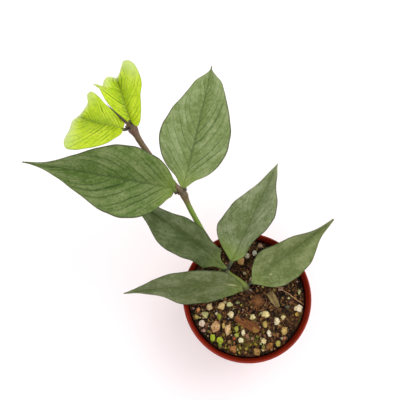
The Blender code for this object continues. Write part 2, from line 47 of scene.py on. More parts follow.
print("frame loaded:", len(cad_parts), "nodes")


def deselectAll():
    for obj in list(bpy.context.selected_objects):
        obj.select_set(False)


def makeActive(obj):
    deselectAll()
    obj.select_set(True)
    bpy.context.view_layer.objects.active = obj
    return obj


def toLinear(code, alpha=1.0):
    # sRGB hex to the linear values that the sockets hold
    parts = [int(code[i:i + 2], 16) / 255 for i in (1, 3, 5)]
    return tuple(v / 12.92 if v <= 0.04045 else ((v + 0.055) / 1.055) ** 2.4 for v in parts) + (alpha,)


def addNode(tree, kind, settings=None, inputs=None):
    # a node with its settings, its fixed inputs and its links
    node = tree.nodes.new(kind)
    for key, value in (settings or {}).items():
        if key != "stops":
            setattr(node, key, value)
            continue
        ramp = node.color_ramp                     # stops are (place, hex colour) pairs
        while len(ramp.elements) < len(value):
            ramp.elements.new(0.5)
        for element, (place, code) in zip(ramp.elements, value):
            element.position = place
            element.color = toLinear(code)
    for key, value in (inputs or {}).items():
        if isinstance(value, bpy.types.Node):      # a whole node stands for its main output
            value = value.outputs["Result"] if "Result" in value.outputs else value.outputs[0]
        if isinstance(value, bpy.types.NodeSocket):
            tree.links.new(value, node.inputs[key])
        else:
            node.inputs[key].default_value = value
    return node


def startMaterial(name):
    material = bpy.data.materials.new(name)
    material.use_nodes = True
    tree = material.node_tree
    return material, tree, tree.nodes["Principled BSDF"]


def applyModifiers(obj):
    makeActive(obj)
    for modifier in list(obj.modifiers):
        bpy.ops.object.modifier_apply(modifier=modifier.name)


def settlePlace(obj):
    # the object ends at the origin, with its place in its mesh
    makeActive(obj)
    bpy.ops.object.transform_apply(location=True, rotation=True, scale=True)
    return obj


def paintPoints(obj, name, values):
    # a colour for each point, read by the material
    layer = obj.data.attributes.new(name, 'FLOAT_COLOR', 'POINT')
    flat = np.ones((len(obj.data.vertices), 4), np.float32)
    flat[:, :3] = values
    layer.data.foreach_set("color", flat.ravel())


def markPoints(obj, name, values):
    layer = obj.data.attributes.new(name, 'FLOAT', 'POINT')
    layer.data.foreach_set("value", np.asarray(values, np.float32))


def readPoints(obj):
    co = np.zeros(len(obj.data.vertices) * 3, np.float32)
    obj.data.vertices.foreach_get("co", co)
    return co.reshape(-1, 3).astype(float)


def writePoints(obj, co):
    obj.data.vertices.foreach_set("co", np.asarray(co, np.float32).ravel())
    obj.data.update()


def finishPiece(obj, replaced):
    obj.parent = None
    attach(obj, "root")
    if replaced:
        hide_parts(*replaced)


def smoothStep(low, high, x):
    t = np.clip((np.asarray(x, float) - low) / (high - low), 0, 1)
    return t * t * (3 - 2 * t)


cameraSettings = {
    "place": (-0.0124, -0.0285, 0.3565),
    "right": (0.998, 0.000, -0.058),
    "up": (0.018, 0.953, 0.303),
    "lens": 40.5,
}


def addCamera():
    data = bpy.data.cameras.new("topCamera")
    data.lens = cameraSettings["lens"]
    data.sensor_width = 36
    data.clip_start = 0.01
    camera = bpy.data.objects.new("topCamera", data)
    bpy.context.scene.collection.objects.link(camera)
    right = Vector(cameraSettings["right"]).normalized()
    up = Vector(cameraSettings["up"])
    back = right.cross(up).normalized()
    up = back.cross(right)
    turn = Matrix((right, up, back)).transposed().to_4x4()
    camera.matrix_world = Matrix.Translation(cameraSettings["place"]) @ turn
    bpy.context.scene.camera = camera


studioSettings = {
    "paper": "#FFF8FA",
    "room": (1.0, 0.985, 0.985, 1),
    "roomStrength": 1.08,
    "softbox": (0.50, 0.34, 0.95),
    "softboxSize": 0.6,
    "softboxPower": 3.2,
    "aim": (0, 0, 0.05),
}


def addStudio():
    # plain matt paper sweep, almost white
    deselectAll()
    bpy.ops.mesh.primitive_plane_add(size=6, location=(0, 0, -0.0001))
    floor = bpy.context.active_object
    floor.name = "paperFloor"
    settlePlace(floor)
    material, _, shader = startMaterial("mattPaper")
    shader.inputs["Base Color"].default_value = toLinear(studioSettings["paper"])
    shader.inputs["Roughness"].default_value = 0.9
    shader.inputs["Specular IOR Level"].default_value = 0.1
    floor.data.materials.append(material)

    world = bpy.data.worlds.new("softRoom")
    world.use_nodes = True
    room = world.node_tree.nodes["Background"]
    room.inputs["Color"].default_value = studioSettings["room"]
    room.inputs["Strength"].default_value = studioSettings["roomStrength"]
    bpy.context.scene.world = world

    data = bpy.data.lights.new("softboxKey", 'AREA')
    data.size = studioSettings["softboxSize"]
    data.energy = studioSettings["softboxPower"]
    lamp = bpy.data.objects.new("softboxKey", data)
    bpy.context.scene.collection.objects.link(lamp)
    lamp.location = studioSettings["softbox"]
    beam = Vector(studioSettings["aim"]) - Vector(studioSettings["softbox"])
    lamp.rotation_euler = beam.to_track_quat('-Z', 'Y').to_euler()
    view = bpy.context.scene.view_settings
    view.view_transform = 'Standard'
    view.look = 'None'


addCamera()
addStudio()
print("camera, floor and light set")


def mergedMesh(node):
    # a CAD node's points and triangles, with its split corners joined
    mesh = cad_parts[node].data
    points = np.array([v.co for v in mesh.vertices])
    keys = {}
    index = [keys.setdefault(tuple(np.round(p * 1e6).astype(int)), len(keys)) for p in points]
    merged = np.zeros((len(keys), 3))
    merged[index] = points
    faces = [[index[i] for i in face.vertices] for face in mesh.polygons]
    return merged, faces


def loftRings(node, sides):
    # the rings of a lofted solid, from its tip back to its cut end
    points, faces = mergedMesh(node)
    near = [set() for _ in points]
    for face in faces:
        for a in face:
            near[a].update(b for b in face if b != a)
    for tip in range(len(points)):
        if len(near[tip]) != sides:
            continue
        level = {tip: 0}
        rings, front = [], [tip]
        while front:
            ahead = sorted({b for a in front for b in near[a] if b not in level})
            for b in ahead:
                level[b] = len(rings) + 1
            if ahead:
                rings.append(ahead)
            front = ahead
        if all(len(ring) == sides for ring in rings) and len(rings) > 4:
            break
    ordered = []
    for i, ring in enumerate(rings):
        inside = set(rings[i - 1]) if i else {tip}
        # neighbours on the ring share a face with the ring before
        links = {a: set() for a in ring}
        for face in faces:
            here = [a for a in face if a in links]
            if len(here) == 2 and any(a in inside for a in face):
                links[here[0]].add(here[1])
                links[here[1]].add(here[0])
        loop = [ring[0]]
        while len(loop) < sides:
            step = [b for b in links[loop[-1]] if b not in loop]
            loop.append(step[0])
        loop = points[loop]
        if ordered:
            best = None
            for way in (loop, loop[::-1]):
                for shift in range(sides):
                    turned = np.roll(way, shift, axis=0)
                    cost = ((turned - ordered[-1]) ** 2).sum()
                    if best is None or cost < best[0]:
                        best = (cost, turned)
            loop = best[1]
        ordered.append(loop)
    return points[tip], np.array(ordered[::-1])


def hermite(xs, ys, x):
    # smooth curve through (xs, ys), read at x
    xs, ys = np.asarray(xs, float), np.asarray(ys, float)
    slopes = np.gradient(ys, xs, axis=0)
    i = np.clip(np.searchsorted(xs, x) - 1, 0, len(xs) - 2)
    h = xs[i + 1] - xs[i]
    t = (x - xs[i]) / h
    shape = (-1,) + (1,) * (ys.ndim - 1)
    t, h = t.reshape(shape), h.reshape(shape)
    return ((2 * t ** 3 - 3 * t ** 2 + 1) * ys[i] + (t ** 3 - 2 * t ** 2 + t) * h * slopes[i]
            + (-2 * t ** 3 + 3 * t ** 2) * ys[i + 1] + (t ** 3 - t ** 2) * h * slopes[i + 1])


def taperedTube(name, points, radii, sides=12):
    # a stalk or strand: a poly curve with a round bevel, made a closed mesh
    data = bpy.data.curves.new(name, 'CURVE')
    data.dimensions = '3D'
    data.bevel_depth = 1.0
    data.bevel_resolution = max(sides // 4 - 1, 0)
    data.use_fill_caps = True
    spline = data.splines.new('POLY')
    spline.points.add(len(points) - 1)
    for spot, p, r in zip(spline.points, points, radii):
        spot.co = (*p, 1)
        spot.radius = r
    obj = bpy.data.objects.new(name, data)
    bpy.context.scene.collection.objects.link(obj)
    makeActive(obj)
    bpy.ops.object.convert(target='MESH')
    obj = bpy.context.active_object
    bpy.ops.object.mode_set(mode='EDIT')
    bpy.ops.mesh.select_all(action='SELECT')
    bpy.ops.mesh.remove_doubles(threshold=0.000001)
    bpy.ops.mesh.normals_make_consistent(inside=False)
    bpy.ops.object.mode_set(mode='OBJECT')
    bpy.ops.object.shade_smooth()
    return obj


potSettings = {
    "sides": 128,
    "colour": "#88210D",
    "deep": "#741A08",
    "bright": "#902A12",
    "dust": "#8E5A44",
    # the damp colour is soil smear and painted shade on the inner wall
    "damp": "#34140E",
    "lipRound": 1.1 * mm,
    "holes": 6,
    "holeRadius": 3.0 * mm,
    "holeCircle": 17.5 * mm,
}


def pottedPlastic():
    # polypropylene, injection moulded: a satin skin with soft highlights and faint swirls from the flow
    material, tree, shader = startMaterial("mouldedPolypropylene")
    place = addNode(tree, "ShaderNodeTexCoord").outputs["Object"]
    flow = addNode(tree, "ShaderNodeTexNoise", None,
                   {"Vector": place, "Scale": 55, "Detail": 3, "Distortion": 1.2})
    reds = [(0.3, potSettings["deep"]), (0.62, potSettings["colour"]), (0.9, potSettings["bright"])]
    body = addNode(tree, "ShaderNodeValToRGB", {"stops": reds}, {"Fac": flow})
    # dust and dried splashes, a few millimetres across, thin on the outside and on the lip
    specks = addNode(tree, "ShaderNodeTexNoise", None,
                     {"Vector": place, "Scale": 420, "Detail": 5, "Roughness": 0.7})
    dustMask = addNode(tree, "ShaderNodeMapRange", None,
                       {"Value": specks.outputs["Fac"], "From Min": 0.6, "From Max": 0.78, "To Max": 0.22})
    dusty = addNode(tree, "ShaderNodeMix", {"data_type": 'RGBA'},
                    {"Factor": dustMask.outputs["Result"], "A": body.outputs["Color"],
                     "B": toLinear(potSettings["dust"])})
    # soil smear and painted shade on the inner wall, strongest at the mix line
    stain = addNode(tree, "ShaderNodeAttribute", {"attribute_name": "stain"})
    smear = addNode(tree, "ShaderNodeTexNoise", None,
                    {"Vector": place, "Scale": 160, "Detail": 6, "Roughness": 0.65})
    smearShadeMask = addNode(tree, "ShaderNodeMath", {"operation": 'MULTIPLY'},
                      {0: stain.outputs["Fac"], 1: smear.outputs["Fac"]})
    smearShadeShare = addNode(tree, "ShaderNodeMapRange", None,
                      {"Value": smearShadeMask.outputs["Value"], "From Min": 0.05, "From Max": 0.38,
                       "To Max": 0.97})
    colour = addNode(tree, "ShaderNodeMix", {"data_type": 'RGBA'},
                     {"Factor": smearShadeShare.outputs["Result"], "A": dusty.outputs["Result"],
                      "B": toLinear(potSettings["damp"])})
    tree.links.new(colour.outputs["Result"], shader.inputs["Base Color"])
    rough = addNode(tree, "ShaderNodeMapRange", None,
                    {"Value": specks.outputs["Fac"], "From Min": 0.35, "From Max": 0.75, "To Min": 0.36,
                     "To Max": 0.58})
    tree.links.new(rough.outputs["Result"], shader.inputs["Roughness"])
    # shallow mould texture, about 0.4 mm grain
    grain = addNode(tree, "ShaderNodeTexNoise", None, {"Vector": place, "Scale": 2500, "Detail": 2})
    bump = addNode(tree, "ShaderNodeBump", None,
                   {"Height": grain.outputs["Fac"], "Strength": 0.08, "Distance": 0.0002})
    tree.links.new(bump.outputs["Normal"], shader.inputs["Normal"])
    shader.inputs["IOR"].default_value = 1.49
    shader.inputs["Specular IOR Level"].default_value = 0.18
    return material


def potProfile():
    # outer and inner radii by height, read from the frame's turned solid
    points, _ = mergedMesh("pot")
    _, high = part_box("pot")
    rim, height = high.x, high.z
    radius = np.hypot(points[:, 0], points[:, 1])

    def at(z):
        return sorted({round(float(r), 5) for r in radius[np.abs(points[:, 2] - z) < 0.00002]})

    levels = sorted({round(float(z), 5) for z in points[:, 2]})
    return rim, height, levels, at


def ringUp(scaleBy, lift):
    # pull the selected ring up and widen or narrow it
    bpy.ops.mesh.extrude_region_move(TRANSFORM_OT_translate={"value": (0, 0, lift)})
    bpy.ops.transform.resize(value=(scaleBy, scaleBy, 1), center_override=(0, 0, 0))


def makePot():
    rim, height, levels, at = potProfile()
    foot = max(at(levels[0]))                      # outer edge of the foot
    collar = [z for z in levels if z > height * 0.8]
    collarFoot, collarTop = collar[0], height
    wallTop = max(at(collarFoot))
    collarOut = max(at(collar[1]))
    wallIn = min(at(collarFoot))
    lipIn = min(r for r in at(height) if r > rim * 0.8) + 0.35 * mm
    floorTop = [z for z in levels if 0.5 * mm < z < height * 0.2][-1]
    floorIn = max(at(floorTop))
    rise = [z for z in levels if 0.8 * mm < z < floorTop - 0.2 * mm][0]
    ridges = sorted(r for r in at(rise) if r > 1 * mm)
    footIn, boss = ridges[-1], ridges[0]
    edge = potSettings["lipRound"]
    profile = [(boss - 0.9 * mm, 0), (boss - 0.4 * mm, 0.06 * mm), (boss, rise * 0.85),
               (boss + 0.4 * mm, rise),
               (footIn - 0.5 * mm, rise), (footIn - 0.1 * mm, rise * 0.8), (footIn + 0.3 * mm, 0.25 * mm),
               (footIn + 0.7 * mm, 0), (foot - 0.1 * mm, 0), (foot + 0.25 * mm, 0.12 * mm),
               (foot + 0.5 * mm, 0.5 * mm),
               (foot + 0.62 * mm, 1.1 * mm)]
    steps = 14
    for i in range(1, steps):                      # long tapered wall
        share = i / steps
        profile.append((foot + 0.62 * mm + (wallTop - foot - 0.62 * mm) * share,
                        1.1 * mm + (collarFoot - 1.6 * mm) * share))
    profile += [(wallTop, collarFoot - 0.4 * mm), (wallTop + 0.15 * mm, collarFoot - 0.1 * mm),
                (collarOut - 0.5 * mm, collarFoot), (collarOut - 0.1 * mm, collarFoot + 0.12 * mm),
                (collarOut, collarFoot + 0.5 * mm),
                ((collarOut + rim) / 2 - 0.1 * mm, (collarFoot + collarTop) / 2),
                (rim - 0.25 * mm, collarTop - 2 * edge)]
    for i in range(9):                             # rolled lip
        turn = math.pi * i / 8
        mid = (rim + lipIn) / 2 + 0.1 * mm
        half = (rim - lipIn) / 2 - 0.05 * mm
        profile.append((mid + half * math.cos(turn), collarTop - edge + edge * math.sin(turn)))
    profile += [(lipIn - 0.15 * mm, collarTop - 2.2 * mm), (lipIn - 0.5 * mm, collarTop - 4.5 * mm),
                (wallIn + 0.1 * mm, collarFoot + 0.3 * mm)]
    for i in range(1, 9):
        share = i / 8
        profile.append((wallIn + (floorIn - wallIn) * share,
                        collarFoot + (floorTop + 0.8 * mm - collarFoot) * share))
    profile += [(floorIn - 0.5 * mm, floorTop + 0.15 * mm), (floorIn - 1.2 * mm, floorTop)]

    deselectAll()
    first = profile[0]
    bpy.ops.mesh.primitive_circle_add(vertices=potSettings["sides"], radius=first[0], fill_type='TRIFAN',
                                      location=(0, 0, first[1]))
    pot = bpy.context.active_object
    pot.name = "nurseryPot"
    settlePlace(pot)
    bpy.ops.object.mode_set(mode='EDIT')
    bpy.ops.mesh.select_mode(type='EDGE')
    bpy.ops.mesh.select_all(action='DESELECT')
    mesh = bmesh.from_edit_mesh(pot.data)
    for e in mesh.edges:
        e.select_set(e.is_boundary)
    bmesh.update_edit_mesh(pot.data)
    for (r0, z0), (r1, z1) in zip(profile, profile[1:]):
        ringUp(r1 / r0, z1 - z0)
    bpy.ops.mesh.edge_face_add()                   # the floor inside
    bpy.ops.mesh.inset(thickness=4 * mm)
    bpy.ops.mesh.select_all(action='SELECT')
    bpy.ops.mesh.normals_make_consistent(inside=False)
    bpy.ops.object.mode_set(mode='OBJECT')

    deselectAll()
    drills = []
    for i in range(potSettings["holes"]):
        turn = 2 * math.pi * i / potSettings["holes"]
        centre = (potSettings["holeCircle"] * math.cos(turn), potSettings["holeCircle"] * math.sin(turn), 0)
        bpy.ops.mesh.primitive_cylinder_add(vertices=40, radius=potSettings["holeRadius"], depth=12 * mm,
                                            location=centre)
        drills.append(bpy.context.active_object)
    for drill in drills:
        cut = pot.modifiers.new("drain", 'BOOLEAN')
        cut.object = drill
        cut.operation = 'DIFFERENCE'
        cut.solver = 'EXACT'
    applyModifiers(pot)
    for drill in drills:
        bpy.data.objects.remove(drill)
    makeActive(pot)
    bpy.ops.object.shade_smooth_by_angle(angle=math.radians(35))
    co = readPoints(pot)
    facing = np.array([v.normal.x * v.co.x + v.normal.y * v.co.y for v in pot.data.vertices])
    inner = (facing < 0) & (co[:, 2] > floorTop)
    # the inner wall is painted darker from 4.6 mm below the rim downwards: soil smear and painted shade
    markPoints(pot, "stain", inner * smoothStep(collarTop - 4.6 * mm, collarTop - 6.4 * mm, co[:, 2]))
    pot.data.materials.append(pottedPlastic())
    finishPiece(pot, ["pot"])
    print("pot:", len(pot.data.polygons), "faces")


makePot()


mixSettings = {
    "grid": 170,
    "crumbs": 2600,
    "flakes": 130,
    "grit": 240,
    "threads": 330,
    "algaeSpot": (-3 * mm, -25 * mm),
    "algaeReach": 15 * mm,
}

grainNames = sorted(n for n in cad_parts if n.startswith("grain_"))
grainSpots = []
for grainName in grainNames:
    lowCorner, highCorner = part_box(grainName)
    grainSpots.append(((lowCorner + highCorner) / 2, (highCorner - lowCorner) / 2))
mixLow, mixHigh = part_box("growing_mix")
mixRadius = mixHigh.x
# each grain is sunk to a little under its middle, so its middle gives the height of the mix round it
mixPoints = np.array([(c.x, c.y, c.z - h.z * 0.05) for c, h in grainSpots])
mixMean = float(mixPoints[:, 2].mean())


def mixHeight(x, y):
    gaps = (mixPoints[:, 0] - x) ** 2 + (mixPoints[:, 1] - y) ** 2 + (2 * mm) ** 2
    weight = 1 / gaps ** 1.5
    floor = 1 / (9 * mm) ** 3
    base = (float((weight * mixPoints[:, 2]).sum()) + floor * mixMean) / (float(weight.sum()) + floor)
    spot = Vector((x, y, 0))
    rough = noise.noise(spot / (6 * mm)) * 0.7 * mm
    rough += noise.noise(spot / (2.2 * mm) + Vector((7, 3, 0))) * 0.5 * mm
    rough += abs(noise.noise(spot / (0.9 * mm) + Vector((1, 9, 4)))) * 0.4 * mm
    edge = smoothStep(0.86, 1.0, math.hypot(x, y) / mixRadius)
    return base - 0.2 * mm + rough + float(edge) * 0.5 * mm


def coirMix():
    # coir and peat, damp: soft dark browns with reddish fibres, near-black patches of painted shade for
    # hollows, no shine
    material, tree, shader = startMaterial("dampCoirMix")
    place = addNode(tree, "ShaderNodeTexCoord").outputs["Object"]
    clods = addNode(tree, "ShaderNodeTexNoise", None,
                    {"Vector": place, "Scale": 260, "Detail": 8, "Roughness": 0.68})
    # the near-black first stop is painted shade of hollows; the other stops are the mix's own browns
    browns = [(0.40, "#070404"), (0.50, "#1E120B"), (0.59, "#4A2F1B"), (0.70, "#96693A")]
    tone = addNode(tree, "ShaderNodeValToRGB", {"stops": browns}, {"Fac": clods})
    patch = addNode(tree, "ShaderNodeTexNoise", None, {"Vector": place, "Scale": 70, "Detail": 3})
    warm = addNode(tree, "ShaderNodeMapRange", None,
                   {"Value": patch.outputs["Fac"], "From Min": 0.48, "From Max": 0.66, "To Max": 0.4})
    colour = addNode(tree, "ShaderNodeMix", {"data_type": 'RGBA'},
                     {"Factor": warm, "A": tone, "B": toLinear("#5E3B24")})
    # green algae, thickest on one damp patch
    x, y = mixSettings["algaeSpot"]
    gap = addNode(tree, "ShaderNodeVectorMath", {"operation": 'DISTANCE'}, {0: place, 1: (x, y, mixMean)})
    near = addNode(tree, "ShaderNodeMapRange", None,
                   {"Value": gap.outputs["Value"], "From Min": 0.0, "From Max": mixSettings["algaeReach"],
                    "To Min": 0.16, "To Max": 0.0})
    algae = addNode(tree, "ShaderNodeTexNoise", None,
                    {"Vector": place, "Scale": 300, "Detail": 5, "Roughness": 0.65})
    lift = addNode(tree, "ShaderNodeMath", {"operation": 'ADD'},
                   {0: algae.outputs["Fac"], 1: near.outputs["Result"]})
    green = addNode(tree, "ShaderNodeMapRange", None,
                    {"Value": lift.outputs["Value"], "From Min": 0.56, "From Max": 0.72, "To Max": 0.75})
    mixed = addNode(tree, "ShaderNodeMix", {"data_type": 'RGBA'},
                    {"Factor": green.outputs["Result"], "A": colour.outputs["Result"],
                     "B": toLinear("#6A6420")})
    tree.links.new(mixed.outputs["Result"], shader.inputs["Base Color"])
    shader.inputs["Roughness"].default_value = 0.95
    shader.inputs["Specular IOR Level"].default_value = 0.2
    fine = addNode(tree, "ShaderNodeTexNoise", None,
                   {"Vector": place, "Scale": 1400, "Detail": 6, "Roughness": 0.75})
    bump = addNode(tree, "ShaderNodeBump", None,
                   {"Height": fine.outputs["Fac"], "Strength": 0.9, "Distance": 0.0006})
    tree.links.new(bump.outputs["Normal"], shader.inputs["Normal"])
    return material


def makeMix():
    deselectAll()
    n = mixSettings["grid"]
    bpy.ops.mesh.primitive_grid_add(x_subdivisions=n, y_subdivisions=n, size=2 * mixRadius,
                                    location=(0, 0, 0))
    mix = bpy.context.active_object
    mix.name = "growingMix"
    bpy.ops.object.mode_set(mode='EDIT')
    bpy.ops.mesh.select_mode(type='VERT')
    bpy.ops.mesh.select_all(action='DESELECT')
    mesh = bmesh.from_edit_mesh(mix.data)
    for v in mesh.verts:
        v.select_set(math.hypot(v.co.x, v.co.y) > mixRadius * 0.995)
    bmesh.update_edit_mesh(mix.data)
    bpy.ops.mesh.delete(type='VERT')
    mesh = bmesh.from_edit_mesh(mix.data)
    for v in mesh.verts:
        r = math.hypot(v.co.x, v.co.y)
        if v.is_boundary:                          # the rim of the mix is a clean circle
            v.co.x, v.co.y = v.co.x * mixRadius / r, v.co.y * mixRadius / r
        v.co.z = mixHeight(v.co.x, v.co.y)
    for e in mesh.edges:
        e.select_set(e.is_boundary)
    bmesh.update_edit_mesh(mix.data)
    bpy.ops.mesh.select_mode(type='EDGE')
    mesh = bmesh.from_edit_mesh(mix.data)
    for e in mesh.edges:
        e.select_set(e.is_boundary)
    bmesh.update_edit_mesh(mix.data)
    bottom = max(p.x for p in (Vector(v.co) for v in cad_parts["growing_mix"].data.vertices)
                 if p.z < mixLow.z + 0.1 * mm)
    bpy.ops.mesh.extrude_region_move(TRANSFORM_OT_translate={"value": (0, 0, -3 * mm)})
    mesh = bmesh.from_edit_mesh(mix.data)
    for v in mesh.verts:
        if v.select:
            v.co.z = mixMean - 5 * mm
    bmesh.update_edit_mesh(mix.data)
    bpy.ops.mesh.extrude_region_move(TRANSFORM_OT_translate={"value": (0, 0, mixLow.z - (mixMean - 5 * mm))})
    bpy.ops.transform.resize(value=(bottom / mixRadius, bottom / mixRadius, 1), center_override=(0, 0, 0))
    bpy.ops.mesh.edge_face_add()
    bpy.ops.mesh.select_all(action='SELECT')
    bpy.ops.mesh.normals_make_consistent(inside=False)
    bpy.ops.object.mode_set(mode='OBJECT')
    bpy.ops.object.shade_smooth_by_angle(angle=math.radians(60))
    mix.data.materials.append(coirMix())
    finishPiece(mix, ["growing_mix"])
    print("growing mix:", len(mix.data.polygons), "faces")
    return mix


def roughBit(name, steps, size, rough, seed):
    # one rounded crumb: an icosphere with its corners pushed about
    deselectAll()
    bpy.ops.mesh.primitive_ico_sphere_add(subdivisions=steps, radius=1, location=(0, 0, 0))
    bit = bpy.context.active_object
    bit.name = name
    co = readPoints(bit)
    for i, p in enumerate(co):
        push = noise.noise(Vector(p) * 1.4 + Vector((seed, 0, 0))) * rough
        push += noise.noise(Vector(p) * 3.3 + Vector((0, seed, 0))) * rough * 0.5
        co[i] = p * (1 + push)
    writePoints(bit, co * np.array(size))
    return bit


def scatter(name, models, places, tints, material):
    # many small copies of a few model bits, gathered in one piece, each with its own tint
    made = bmesh.new()
    tint = made.verts.layers.float_color.new("tint")
    stock = []
    for model in models:
        co = readPoints(model)
        stock.append((co, [tuple(f.vertices) for f in model.data.polygons]))
    for k, (matrix, colour) in enumerate(zip(places, tints)):
        co, faces = stock[k % len(stock)]
        fresh = []
        for p in co:
            vert = made.verts.new(matrix @ Vector(p))
            vert[tint] = (*colour, 1)
            fresh.append(vert)
        for face in faces:
            made.faces.new([fresh[i] for i in face])
    mesh = bpy.data.meshes.new(name)
    made.to_mesh(mesh)
    made.free()
    for model in models:
        bpy.data.objects.remove(model)
    obj = bpy.data.objects.new(name, mesh)
    bpy.context.scene.collection.objects.link(obj)
    makeActive(obj)
    bpy.ops.object.shade_smooth_by_angle(angle=math.radians(50))
    obj.data.materials.append(material)
    finishPiece(obj, None)
    return obj


def tintedBits(name, rough, scale, contrast, depth):
    # loose bits: their own tint, mottled, with a rough skin
    material, tree, shader = startMaterial(name)
    place = addNode(tree, "ShaderNodeTexCoord").outputs["Object"]
    tint = addNode(tree, "ShaderNodeAttribute", {"attribute_name": "tint"})
    mottle = addNode(tree, "ShaderNodeTexNoise", None,
                     {"Vector": place, "Scale": scale, "Detail": 5, "Roughness": 0.7})
    shade = addNode(tree, "ShaderNodeMapRange", None,
                    {"Value": mottle.outputs["Fac"], "From Min": 0.3, "From Max": 0.7,
                     "To Min": 1 - contrast, "To Max": 1 + contrast * 0.5})
    colour = addNode(tree, "ShaderNodeVectorMath", {"operation": 'SCALE'},
                     {0: tint.outputs["Color"], "Scale": shade.outputs["Result"]})
    tree.links.new(colour.outputs["Vector"], shader.inputs["Base Color"])
    shader.inputs["Roughness"].default_value = rough
    shader.inputs["Specular IOR Level"].default_value = 0.25
    bump = addNode(tree, "ShaderNodeBump", None,
                   {"Height": mottle.outputs["Fac"], "Strength": 0.8, "Distance": depth})
    tree.links.new(bump.outputs["Normal"], shader.inputs["Normal"])
    return material


def randomSpots(count, reach, seed):
    dice = random.Random(seed)
    spots = []
    while len(spots) < count:
        x, y = dice.uniform(-1, 1), dice.uniform(-1, 1)
        if x * x + y * y < 1:
            spots.append((x * reach, y * reach, dice))
    return spots


def makeCrumbs():
    browns = [toLinear(c)[:3] for c in ("#120C08", "#20150E", "#3B2818", "#543A22", "#74502C", "#1C140C",
                                        "#57331F", "#8A6438")]
    greens = [toLinear(c)[:3] for c in ("#6E6420", "#8A7A2C", "#5A5A1C", "#A08C3A")]
    places, tints = [], []
    for x, y, dice in randomSpots(mixSettings["crumbs"], mixRadius - 0.6 * mm, 3):
        size = dice.choice((0.35, 0.45, 0.6, 0.6, 0.8, 1.1)) * mm
        turn = Matrix.Rotation(dice.uniform(0, fullTurn), 4, 'Z')
        turn = turn @ Matrix.Rotation(dice.uniform(0, halfTurn), 4, 'X')
        shape = Matrix.Diagonal((size, size * dice.uniform(0.5, 0.9), size * dice.uniform(0.4, 0.8), 1))
        places.append(Matrix.Translation((x, y, mixHeight(x, y) + size * 0.25)) @ turn @ shape)
        damp = math.hypot(x - mixSettings["algaeSpot"][0],
                          y - mixSettings["algaeSpot"][1]) / mixSettings["algaeReach"]
        tints.append(dice.choice(greens if dice.random() > 0.35 + 0.65 * min(damp, 1) else browns))
    models = [roughBit(f"crumb{i}", 1, (1, 1, 1), 0.5, i * 3.1) for i in range(3)]
    scatter("coirCrumbs", models, places, tints, tintedBits("coirCrumbs", 0.95, 900, 0.5, 0.0004))

    stones = [toLinear(c)[:3] for c in ("#E2D2A6", "#CDB883", "#B99B62", "#9C7A48", "#C4BE74", "#8E8C3C",
                                        "#D9C9B0", "#A8683C")]
    places, tints = [], []
    for x, y, dice in randomSpots(mixSettings["grit"], mixRadius - 0.9 * mm, 5):
        size = dice.choice((0.35, 0.45, 0.55, 0.7, 0.95)) * mm
        turn = Matrix.Rotation(dice.uniform(0, fullTurn), 4, 'Z')
        turn = turn @ Matrix.Rotation(dice.uniform(0, halfTurn), 4, 'Y')
        shape = Matrix.Diagonal((size, size * dice.uniform(0.7, 1), size * dice.uniform(0.6, 0.9), 1))
        places.append(Matrix.Translation((x, y, mixHeight(x, y) + size * 0.3)) @ turn @ shape)
        tints.append([v * dice.uniform(0.55, 0.95) for v in dice.choice(stones)])
    models = [roughBit(f"grit{i}", 2, (1, 1, 1), 0.3, i * 5.3) for i in range(3)]
    scatter("pumiceGrit", models, places, tints, tintedBits("pumiceGrit", 0.9, 1500, 0.35, 0.0003))

    barks = [toLinear(c)[:3] for c in ("#5A3422", "#6E4630", "#3C2417", "#7B5236", "#4A3A28")]
    places, tints = [], []
    for x, y, dice in randomSpots(mixSettings["flakes"], mixRadius - 2.2 * mm, 7):
        size = dice.uniform(0.8, 1.7) * mm
        turn = Matrix.Rotation(dice.uniform(0, fullTurn), 4, 'Z')
        turn = turn @ Matrix.Rotation(dice.uniform(-0.5, 0.5), 4, 'X')
        shape = Matrix.Diagonal((size, size * dice.uniform(0.3, 0.6), 0.22 * mm, 1))
        places.append(Matrix.Translation((x, y, mixHeight(x, y) + 0.35 * mm)) @ turn @ shape)
        tints.append(dice.choice(barks))
    models = [roughBit(f"flake{i}", 2, (1, 1, 1), 0.6, i * 2.7) for i in range(2)]
    scatter("barkFlakes", models, places, tints, tintedBits("barkFlakes", 0.85, 1200, 0.45, 0.0003))
    print("loose bits scattered on the mix")


def makeFibres():
    # coir threads, 0.15 mm thick, lying loose on the mix
    fibres = [toLinear(c)[:3] for c in ("#7A4C2C", "#9A6A3E", "#5C3620", "#B08450", "#46301C", "#6E3E26")]
    made = []
    tints = []
    for k, (x, y, dice) in enumerate(randomSpots(mixSettings["threads"], mixRadius - 3 * mm, 9)):
        heading = dice.uniform(0, fullTurn)
        bend = dice.uniform(-1.6, 1.6)
        length = dice.uniform(2.5, 7) * mm
        points = []
        px, py = x, y
        for i in range(7):
            if math.hypot(px, py) > mixRadius - 1 * mm:
                break
            lift = 0.25 * mm + 0.5 * mm * math.sin(math.pi * i / 6) * dice.uniform(0.4, 1)
            points.append((px, py, mixHeight(px, py) + lift))
            px += math.cos(heading) * length / 6
            py += math.sin(heading) * length / 6
            heading += bend / 6
        if len(points) > 3:
            radii = [0.12 * mm * (1.1 - 0.12 * i) for i in range(len(points))]
            made.append(taperedTube(f"thread{k}", points, radii, 4))
            tints += [dice.choice(fibres)] * len(made[-1].data.vertices)
    deselectAll()
    for thread in made:
        thread.select_set(True)
    bpy.context.view_layer.objects.active = made[0]
    bpy.ops.object.join()
    threads = bpy.context.active_object
    threads.name = "coirThreads"
    paintPoints(threads, "tint", np.array(tints))
    threads.data.materials.append(tintedBits("coirThreads", 0.8, 2000, 0.4, 0.0001))
    finishPiece(threads, None)
    print("threads:", len(made))


makeMix()
makeCrumbs()
makeFibres()


